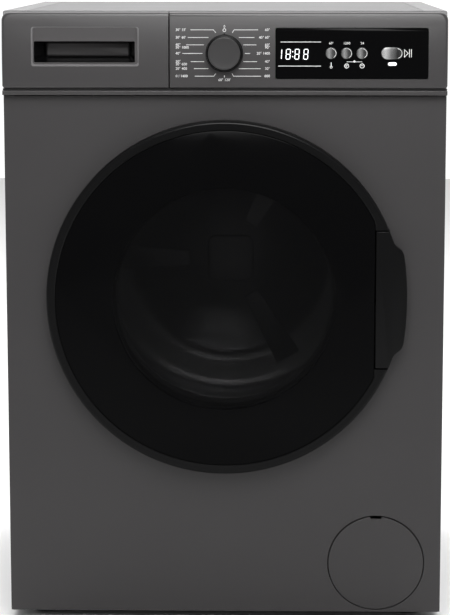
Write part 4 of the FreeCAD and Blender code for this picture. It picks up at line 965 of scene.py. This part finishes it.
def make_door_ring():
    """Ring with a seat for the disc, the handle's well and base, and the hinge's pocket."""
    front, back = RING_LOW.y, RING_HIGH.y
    outer = (RING_HIGH.z - RING_LOW.z) / 2
    seat_back, step_y = front + 0.008, front + 0.0052
    profile = [(seat_back, 0), (seat_back, outer - 0.005), (back, outer - 0.005), (back, outer - 0.0006),
               (back - 0.0006, outer)]
    profile += rolled_edge(front, outer, 0.0034, range(7))
    profile += [(front + 0.0002, outer - 0.0055), (front + 0.0002, 0)]
    ring = lathe("door_ring_moulding", profile, "ring", segments=256)
    seat = loft("seat", [(disc_outline(0.0026), front - 0.0005), (disc_outline(0.0007), front + 0.0013),
                         (disc_outline(0.0007), step_y), (disc_outline(-0.007), step_y),
                         (disc_outline(-0.007), seat_back + 0.001)], "ring")
    well_y = -0.262
    finger_gap = ((0.2140, well_y - 0.001, AXIS_Z - 0.070), (0.250, back + 0.001, AXIS_Z + 0.070))
    handle_well = block((0.2025, front - 0.001, AXIS_Z - 0.0950), (0.250, well_y, AXIS_Z + 0.0950))
    hinge_pocket = block((-0.2460, -0.2725, AXIS_Z - 0.047), (-0.2160, -0.2450, AXIS_Z + 0.047))
    carve(ring, seat, handle_well, block(*finger_gap), hinge_pocket)
    base = block((0.2030, well_y, AXIS_Z - 0.0944), (0.2230, -0.2522, AXIS_Z + 0.0944), 0.0006)
    hook_gap = block((0.2000, well_y - 0.001, AXIS_Z - 0.009), (0.2120, back + 0.001, AXIS_Z + 0.009))
    carve(base, block(*finger_gap), hook_gap)
    whole = merge("door_ring_moulding", [ring, base], "door")
    # The ring's outer side wall takes the dead black as painted shade for the dark gap round the door.
    paint(whole, "mask", lambda face: abs(face.normal.y) < 0.5
          and math.hypot(face.center.x, face.center.z - AXIS_Z) > outer - 0.002)
    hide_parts("door_ring")


def make_disc():
    """Glossy disc, black all round and smoked over the window."""
    low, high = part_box("door_disc")
    edge = 0.0007
    sections = [(disc_outline(-edge), high.y), (disc_outline(), high.y - edge), (disc_outline(), low.y + edge),
                (disc_outline(-edge * 0.3), low.y + edge * 0.3), (disc_outline(-edge), low.y)]
    disc = loft("smoked_disc", sections, "gloss")
    carve(disc, prism("window_cut", circle(DOOR_CENTRE, PANE_RADIUS, 160), low.y - 0.001, high.y + 0.001))
    pane_edge = PANE_RADIUS - 0.00005
    pane = lathe("pane", [(low.y, 0), (low.y, pane_edge), (high.y, pane_edge), (high.y, 0)], "smoke", segments=160)
    disc = merge("smoked_disc", [disc, pane], "door")
    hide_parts("door_disc")


def bezier(start, leave, arrive, end, steps):
    """Points along a cubic curve, without its two ends."""
    points = []
    for index in range(1, steps):
        t = index / steps
        point = start * (1 - t) ** 3 + leave * 3 * t * (1 - t) ** 2 + arrive * 3 * t ** 2 * (1 - t) + end * t ** 3
        points.append((point.x, point.y))
    return points


def heading(degrees):
    """Direction along a clockwise arc at the given angle."""
    turn = math.radians(degrees)
    return Vector((math.sin(turn), -math.cos(turn)))


def handle_outline():
    """From the top seam down the ring's edge, out to the grip and back, as (x, z)."""
    outer = (RING_HIGH.z - RING_LOW.z) / 2 - 0.0001
    reach, arc = 0.2465, 0.420
    step_out, shoulder = 0.0800, 0.0580
    seam = math.degrees(math.asin(HANDLE_HALF / outer))
    leave = math.degrees(math.asin(step_out / outer))
    swell = math.degrees(math.asin(shoulder / arc))
    upper = arc_points((0, 0), outer, seam, leave, 4)
    grip = arc_points((reach - arc, 0), arc, swell, 0, 12)
    start, end = Vector(upper[-1]), Vector(grip[0])
    span = (end - start).length
    curve = bezier(start, start + heading(leave) * span * 0.45, end - heading(swell) * span * 0.55, end, 10)
    half = [(0.2042, HANDLE_HALF)] + upper + curve + grip
    mirrored = [(x, -z) for x, z in half[::-1][1:]]
    return [(x, AXIS_Z + z) for x, z in half + mirrored]


def make_handle():
    low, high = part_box("door_handle")
    front, back = low.y, high.y
    grip = extrude_outline("door_handle_moulding", handle_outline(), front, back, "ring", None, 0.0012, 4)
    scoop = block((0.2160, front + 0.0055, AXIS_Z - 0.0600), (0.2385, back + 0.002, AXIS_Z + 0.0600), 0.003, 4)
    carve(grip, scoop)
    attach(grip, "handle")
    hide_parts("door_handle")


def make_bowl():
    """Thick glass bowl with a rolled rim and a domed bottom."""
    front, back = GLASS_LOW.y, GLASS_HIGH.y
    rim = (GLASS_HIGH.z - GLASS_LOW.z) / 2
    outer = shifted(front, [(0.006, 0.1470), (0.020, 0.1432), (0.045, 0.1365), (0.070, 0.1300), (0.082, 0.1262),
                            (0.090, 0.1205), (0.0955, 0.1110), (0.099, 0.0985), (0.1015, 0.0800), (0.1035, 0.0550),
                            (0.1050, 0.0280)])
    outer.append((back, 0))
    thick = 0.0052
    inner = [(y - thick * (1.0 if radius < 0.110 else 0.35), max(0.0, radius - (0 if radius < 0.090 else thick)))
             for y, radius in outer[1:]]
    edge = shifted(front, [(0, rim - 0.0105), (0, rim - 0.0012), (0.0010, rim), (0.0050, rim), (0.006, rim - 0.0010)])
    profile = edge + outer + inner[::-1]
    bowl = lathe("glass_bowl", profile, "bowl", "door", segments=160, angle=50)
    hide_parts("door_glass")


# ---- Gasket and drum ----

def make_gasket():
    """Bellows between the front panel's collar and the tub's mouth."""
    low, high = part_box("door_gasket")
    front, back = low.y, high.y
    inner = 0.1460
    outer = (high.z - low.z) / 2
    folds = [(0, 0.014), (0.002, 0.006), (0.006, 0.001), (0.012, 0), (0.017, 0.003), (0.021, 0.010), (0.025, 0.017),
             (0.029, 0.019), (0.033, 0.016), (0.038, 0.014), (0.043, 0.016)]
    skin = [(front, outer)] + [(front + y, inner + rise) for y, rise in folds] + [(back, inner + 0.020)]
    wall = 0.0026
    outside = [(y + wall * 0.4, radius + wall) for y, radius in skin[1:-1]]
    profile = skin + [(back, inner + 0.020 + wall)] + outside[::-1] + [(front + wall, outer)]
    gasket = lathe("gasket_bellows", profile, "rubber", segments=160, angle=60)
    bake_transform(gasket)
    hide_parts("door_gasket")


DRUM_WALL = 0.0014


def make_drum():
    """Steel shell with a round front shoulder and a rolled mouth."""
    low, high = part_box("drum_shell")
    front, back = low.y, high.y
    radius = (high.z - low.z) / 2
    mouth = 0.1585
    shoulder = 0.012
    profile = [(back, radius), (front + 0.018, radius)]
    profile += rolled_edge(front + 0.018 - shoulder, radius, shoulder, range(1, 7))
    lip = shifted(front, [(0.006, radius - 0.030), (0.002, mouth + 0.012), (0.0005, mouth + 0.004),
                          (0.0015, mouth + 0.0005), (0.0045, mouth), (0.0065, mouth + 0.002)])
    curl = shifted(front, [(0.0060, mouth + 0.0045), (0.0045, mouth + 0.013)])
    inside = [(y + DRUM_WALL * 0.8, point - DRUM_WALL * 0.9) for y, point in profile + lip[:2]]
    shell = lathe("drum_shell_rolled", profile + lip + curl + inside[::-1], "steel", "drum", angle=50)
    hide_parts("drum_shell")


def make_drum_dimples():
    """Rows of drawn holes inside the shell, each a raised rim round a small sunk disc, all in a dark steel tone that
    is painted shade for the holes.
    """
    low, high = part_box("drum_shell")
    rows, around, hole, sides = 11, 60, 0.0024, 8
    inner = (high.z - low.z) / 2 - DRUM_WALL - 0.0002
    verts, faces = [], []
    for row in range(rows):
        y = low.y + 0.042 + (high.y - low.y - 0.075) * row / (rows - 1)
        for column in range(around):
            turn = 2 * math.pi * (column + 0.5 * (row % 2)) / around
            base = len(verts)
            for radius, depth in ((hole * 1.9, 0.0), (hole, 0.0006), (hole, -0.0010)):
                for corner in range(sides):
                    spin = 2 * math.pi * corner / sides
                    bearing = turn + radius * math.cos(spin) / inner
                    reach = inner - depth
                    verts.append((reach * math.sin(bearing), y + radius * math.sin(spin),
                                  AXIS_Z + reach * math.cos(bearing)))
            for corner in range(sides):
                after = (corner + 1) % sides
                for band in (base, base + sides):
                    faces.append((band + corner, band + after, band + sides + after, band + sides + corner))
            faces.append(tuple(range(base + 2 * sides, base + 3 * sides)))
    holes = new_piece("drum_dimples", verts, faces, "dimple", "drum", 60)


def make_rear_wall():
    """Pressed rear wall: a raised rounded square in the middle, a ring round it and three radial ribs."""
    low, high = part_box("drum_rear_wall")
    radius = (high.z - low.z) / 2
    front = low.y
    profile = [(high.y, 0), (high.y, radius), (front, radius)]
    for centre, height in ((0.205, 0.004), (0.150, -0.003)):
        profile += [(front - height * math.sin(math.radians(18 * step)), centre + 0.014 - 0.0028 * step)
                    for step in range(11)]
    profile += [(front, 0.110), (front - 0.005, 0.100), (front - 0.005, 0)]
    wall = lathe("drum_rear_pressing", profile, "steel", "drum", segments=160, angle=50)
    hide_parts("drum_rear_wall")
    outline = rounded_outline((-0.036, 0.036), (AXIS_Z - 0.036, AXIS_Z + 0.036), 0.014)
    boss = extrude_outline("drum_centre_boss", outline, front - 0.011, front - 0.004, "steel", "drum", 0.004, 5)
    ribs = []
    for index in range(3):
        turn = math.radians(30 + 120 * index)
        along = Vector((math.sin(turn), math.cos(turn)))
        across = Vector((along.y, -along.x))
        corners = [along * 0.062 + across * 0.012, along * 0.178 + across * 0.020, along * 0.178 - across * 0.020,
                   along * 0.062 - across * 0.012]
        ribs.append(extrude_outline("rib", [(c.x, AXIS_Z + c.y) for c in corners], front - 0.0075, front - 0.001,
                                    "steel", None, 0.003, 4))
    pressed = merge("drum_rear_ribs", ribs, "drum")


# ---- Springs and hoses ----

def tube_along(name, path, radii, material, sides=14):
    """A round tube through the points of the path, with a radius for each."""
    verts, faces = [], []
    side = None
    for index, point in enumerate(path):
        before, after = path[max(0, index - 1)], path[min(len(path) - 1, index + 1)]
        along = (after - before).normalized()
        if side is None:
            side = along.orthogonal().normalized()
        side = (side - along * side.dot(along)).normalized()
        other = along.cross(side)
        for step in range(sides):
            turn = 2 * math.pi * step / sides
            verts.append(point + (side * math.cos(turn) + other * math.sin(turn)) * radii[index])
    for index in range(len(path) - 1):
        for step in range(sides):
            after = (step + 1) % sides
            faces.append((index * sides + step, index * sides + after, (index + 1) * sides + after,
                          (index + 1) * sides + step))
    last = (len(path) - 1) * sides
    faces += [tuple(range(sides)), tuple(last + step for step in range(sides))]
    return new_piece(name, verts, faces, material, None, 60)


FOLD_STEPS = 6


def fold_wave(index):
    """How far out a bellows stands at a step: 0 in a valley, 1 on a crest."""
    return 0.5 - 0.5 * math.cos(2 * math.pi * index / FOLD_STEPS)


def plan_centre(low, high):
    """The middle (x, y) of a box, seen from above."""
    return Vector(((low.x + high.x) / 2, (low.y + high.y) / 2))


def make_springs():
    """Coil springs between the hangers and the tub's lugs."""
    low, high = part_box("suspension_springs")
    wire, coil, turns, per_turn = 0.0019, 0.0138, 17, 18
    middle_y = (low.y + high.y) / 2
    foot, head = low.z + 0.0035, high.z - 0.0035
    springs = []
    for side in (-1, 1):
        middle_x = side * (high.x - coil - wire)
        steps = turns * per_turn
        path = []
        for step in range(steps + 1):
            turn = 2 * math.pi * step / per_turn
            path.append(Vector((middle_x + coil * math.cos(turn), middle_y + coil * math.sin(turn),
                                foot + (head - foot) * step / steps)))
        springs.append(tube_along("spring", path, [wire] * len(path), "zinc", 8))
    pair = merge("spring_pair", springs)
    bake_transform(pair)
    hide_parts("suspension_springs")


def make_fill_hose():
    """Corrugated hose with plain cuffs at its ends."""
    low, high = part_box("fill_hose")
    centre = plan_centre(low, high)
    outer = (high.x - low.x) / 2
    bore, cuff, steps = outer - 0.0066, outer - 0.0030, 6 * FOLD_STEPS
    first, last = low.z + 0.008, high.z - 0.008
    profile = [(bore, low.z), (cuff, low.z), (cuff, first)]
    for index in range(steps):
        profile.append((cuff + (outer - cuff) * fold_wave(index), first + (last - first) * index / steps))
    profile += [(cuff, last), (cuff, high.z), (bore, high.z), (bore, low.z)]
    hose = spin_upright("fill_bellows", profile, "dark_rubber", centre, segments=48)
    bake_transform(hose)
    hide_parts("fill_hose")


def make_sump_hose():
    """Hose that drops from the tub in soft folds and bends across to the pump."""
    low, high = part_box("sump_hose")
    radius = (high.y - low.y) / 2
    drop_x, y, run_z = low.x + radius, (low.y + high.y) / 2, low.z + radius
    bend, steps = 0.030, 5 * FOLD_STEPS
    foot = run_z + bend
    path, radii = [Vector((drop_x, y, high.z))], [radius - 0.0026]
    for index in range(steps + 1):
        path.append(Vector((drop_x, y, high.z - 0.010 - (high.z - 0.014 - foot) * index / steps)))
        radii.append(radius - 0.0026 * (1 - fold_wave(index)))
    for step in range(10):
        turn = math.radians(10 * step)
        path.append(Vector((drop_x + bend * (1 - math.cos(turn)), y, foot - bend * math.sin(turn))))
        radii.append(radius - 0.0014)
    path.append(Vector((high.x, y, run_z)))
    radii.append(radius - 0.0014)
    hose = tube_along("sump_bellows", path, radii, "dark_rubber", 32)
    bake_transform(hose)
    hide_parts("sump_hose")


# ---- Back panel ----

def make_back_pressings():
    """Beads pressed outwards in the back sheet, and a collar round each transit hole."""
    low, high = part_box("rear_cover")
    sheet_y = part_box("cabinet_wrap")[1].y
    outlines = [rounded_outline((-0.150, 0.150), (level, level + 0.010), 0.0049)
                for level in (high.z + 0.020, high.z + 0.148, low.z - 0.030, low.z - 0.075, low.z - 0.195)]
    outlines += [rounded_outline((x - 0.005, x + 0.005), (low.z - 0.02, high.z + 0.02), 0.0049)
                 for x in (-0.246, 0.246)]
    beads = []
    for outline in outlines:
        sections = [(outline, sheet_y - 0.0004), (outline, sheet_y + 0.0002),
                    (drawn_in(outline, 0.0010), sheet_y + 0.0014), (drawn_in(outline, 0.0030), sheet_y + 0.0020)]
        beads.append(loft("bead", sections, "cabinet"))
    profile = shifted(sheet_y, [(-0.0004, 0.0090), (-0.0004, 0.0140), (0.0006, 0.0140), (0.0016, 0.0125),
                                (0.0016, 0.0102), (-0.0004, 0.0090)])
    for x in (-0.190, 0.190):
        for z in (AXIS_Z - 0.150, AXIS_Z + 0.150):
            beads.append(lathe("collar", profile, "cabinet", centre=(x, z), segments=40, closed=False))
    whole = merge("back_pressings", beads, "cabinet")


def make_screw_heads():
    """Recessed heads on the cover's screws: a washer face, a dome and a cross."""
    low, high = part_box("cabinet_screws")
    radius, long_half, short_half = 0.0042, 0.0021, 0.0004
    profile = shifted(low.y, [(0, 0), (0, radius + 0.0012), (0.0007, radius + 0.0012), (0.0008, radius - 0.0006),
                              (0.0022, radius - 0.0008)])
    profile += [(high.y - 0.0001, radius - 0.0016), (high.y, radius - 0.0026), (high.y, 0)]
    heads = []
    for x in (low.x + radius, high.x - radius):
        for level in (0, 90, 190, 290, 380):
            z = low.z + radius + level * MM
            head = lathe("screw_head", profile, "zinc", centre=(x, z), segments=24)
            bars = [slab("bar", (x - wide, high.y - 0.0012, z - tall), (x + wide, high.y + 0.001, z + tall),
                         "zinc")
                    for wide, tall in ((long_half, short_half), (short_half, long_half))]
            carve(head, *bars)
            heads.append(head)
    whole = merge("cover_screw_heads", heads, "cabinet")
    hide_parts("cabinet_screws")


# ---- Filter cover, feet and small parts ----

def make_gland_plug():
    """Rubber diaphragm that closes the gland's bore, since the machine has no cord."""
    nose_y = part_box("cable_gland")[1].y
    profile = shifted(nose_y - 0.004, [(0, 0), (0, 0.0014), (-0.0007, 0.0028), (0, 0.0042), (0.001, 0.0042),
                                       (0.0004, 0.0028), (0.001, 0.0014), (0.001, 0)])
    plug = lathe("gland_plug", profile, "dark_rubber", "cabinet", centre=centre_of("cable_gland"), segments=32)


def make_filter_cover():
    centre = centre_of("filter_cover")
    radius = (COVER_HIGH.x - COVER_LOW.x) / 2
    front, back = COVER_LOW.y, COVER_HIGH.y
    edge = 0.0012
    profile = [(back, 0), (back, radius), (front + edge, radius)]
    profile += rolled_edge(front, radius, edge, range(1, 7))
    profile += [(front, radius - 0.02), (front, 0)]
    cover = lathe("filter_cover_disc", profile, "cabinet", centre=centre, segments=192)
    notch = prism("cover_notch", rounded_outline((centre[0] - 0.0078, centre[0] + 0.0078),
                                                 (centre[1] + radius - 0.0030, centre[1] + radius + 0.004), 0.0008),
                  front - 0.001, back + 0.001)
    carve(cover, notch)
    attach(cover, "service_cover")
    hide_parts("filter_cover")


def make_feet():
    """Rubber pads on threaded studs."""
    pad_top, pitch, crest, root = 0.0092, 0.00125, 0.0050, 0.0044
    for node, body in (("foot_front_left", "foot_fl"), ("foot_front_right", "foot_fr"),
                       ("foot_rear_left", "foot_rl"), ("foot_rear_right", "foot_rr")):
        low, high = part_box(node)
        centre = plan_centre(low, high)
        radius = (high.x - low.x) / 2
        profile = [(0.0, 0.0), (radius - 0.0022, 0.0), (radius - 0.0006, 0.0007), (radius, 0.0022),
                   (radius, 0.0052), (radius - 0.0012, 0.0064), (0.0135, pad_top), (0.0115, pad_top), (0.0, pad_top)]
        foot = spin_upright(node + "_pad", profile, "dark_rubber", centre, body)
        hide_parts(node)
        thread = [(0.0, 0.0088)]
        for index in range(int((high.z - 0.0090) / pitch)):
            level = 0.0090 + index * pitch
            thread += [(crest, level), (root, level + 0.00062)]
        thread += [(crest, high.z), (0.0, high.z)]
        stud = spin_upright(node + "_stud", thread, "zinc", centre, body, 24)


# ---- Build ----

make_camera()
make_stage()
make_lights()
dress_cad_nodes()
make_fascia()
make_drawer_front()
make_display()
make_round_keys()
make_start_key()
make_knob()
make_dial_print()
make_digits()
make_symbols()
make_door_ring()
make_disc()
make_handle()
make_bowl()
make_gasket()
make_drum()
make_drum_dimples()
make_rear_wall()
make_springs()
make_fill_hose()
make_sump_hose()
make_back_pressings()
make_screw_heads()
make_gland_plug()
make_filter_cover()
make_feet()
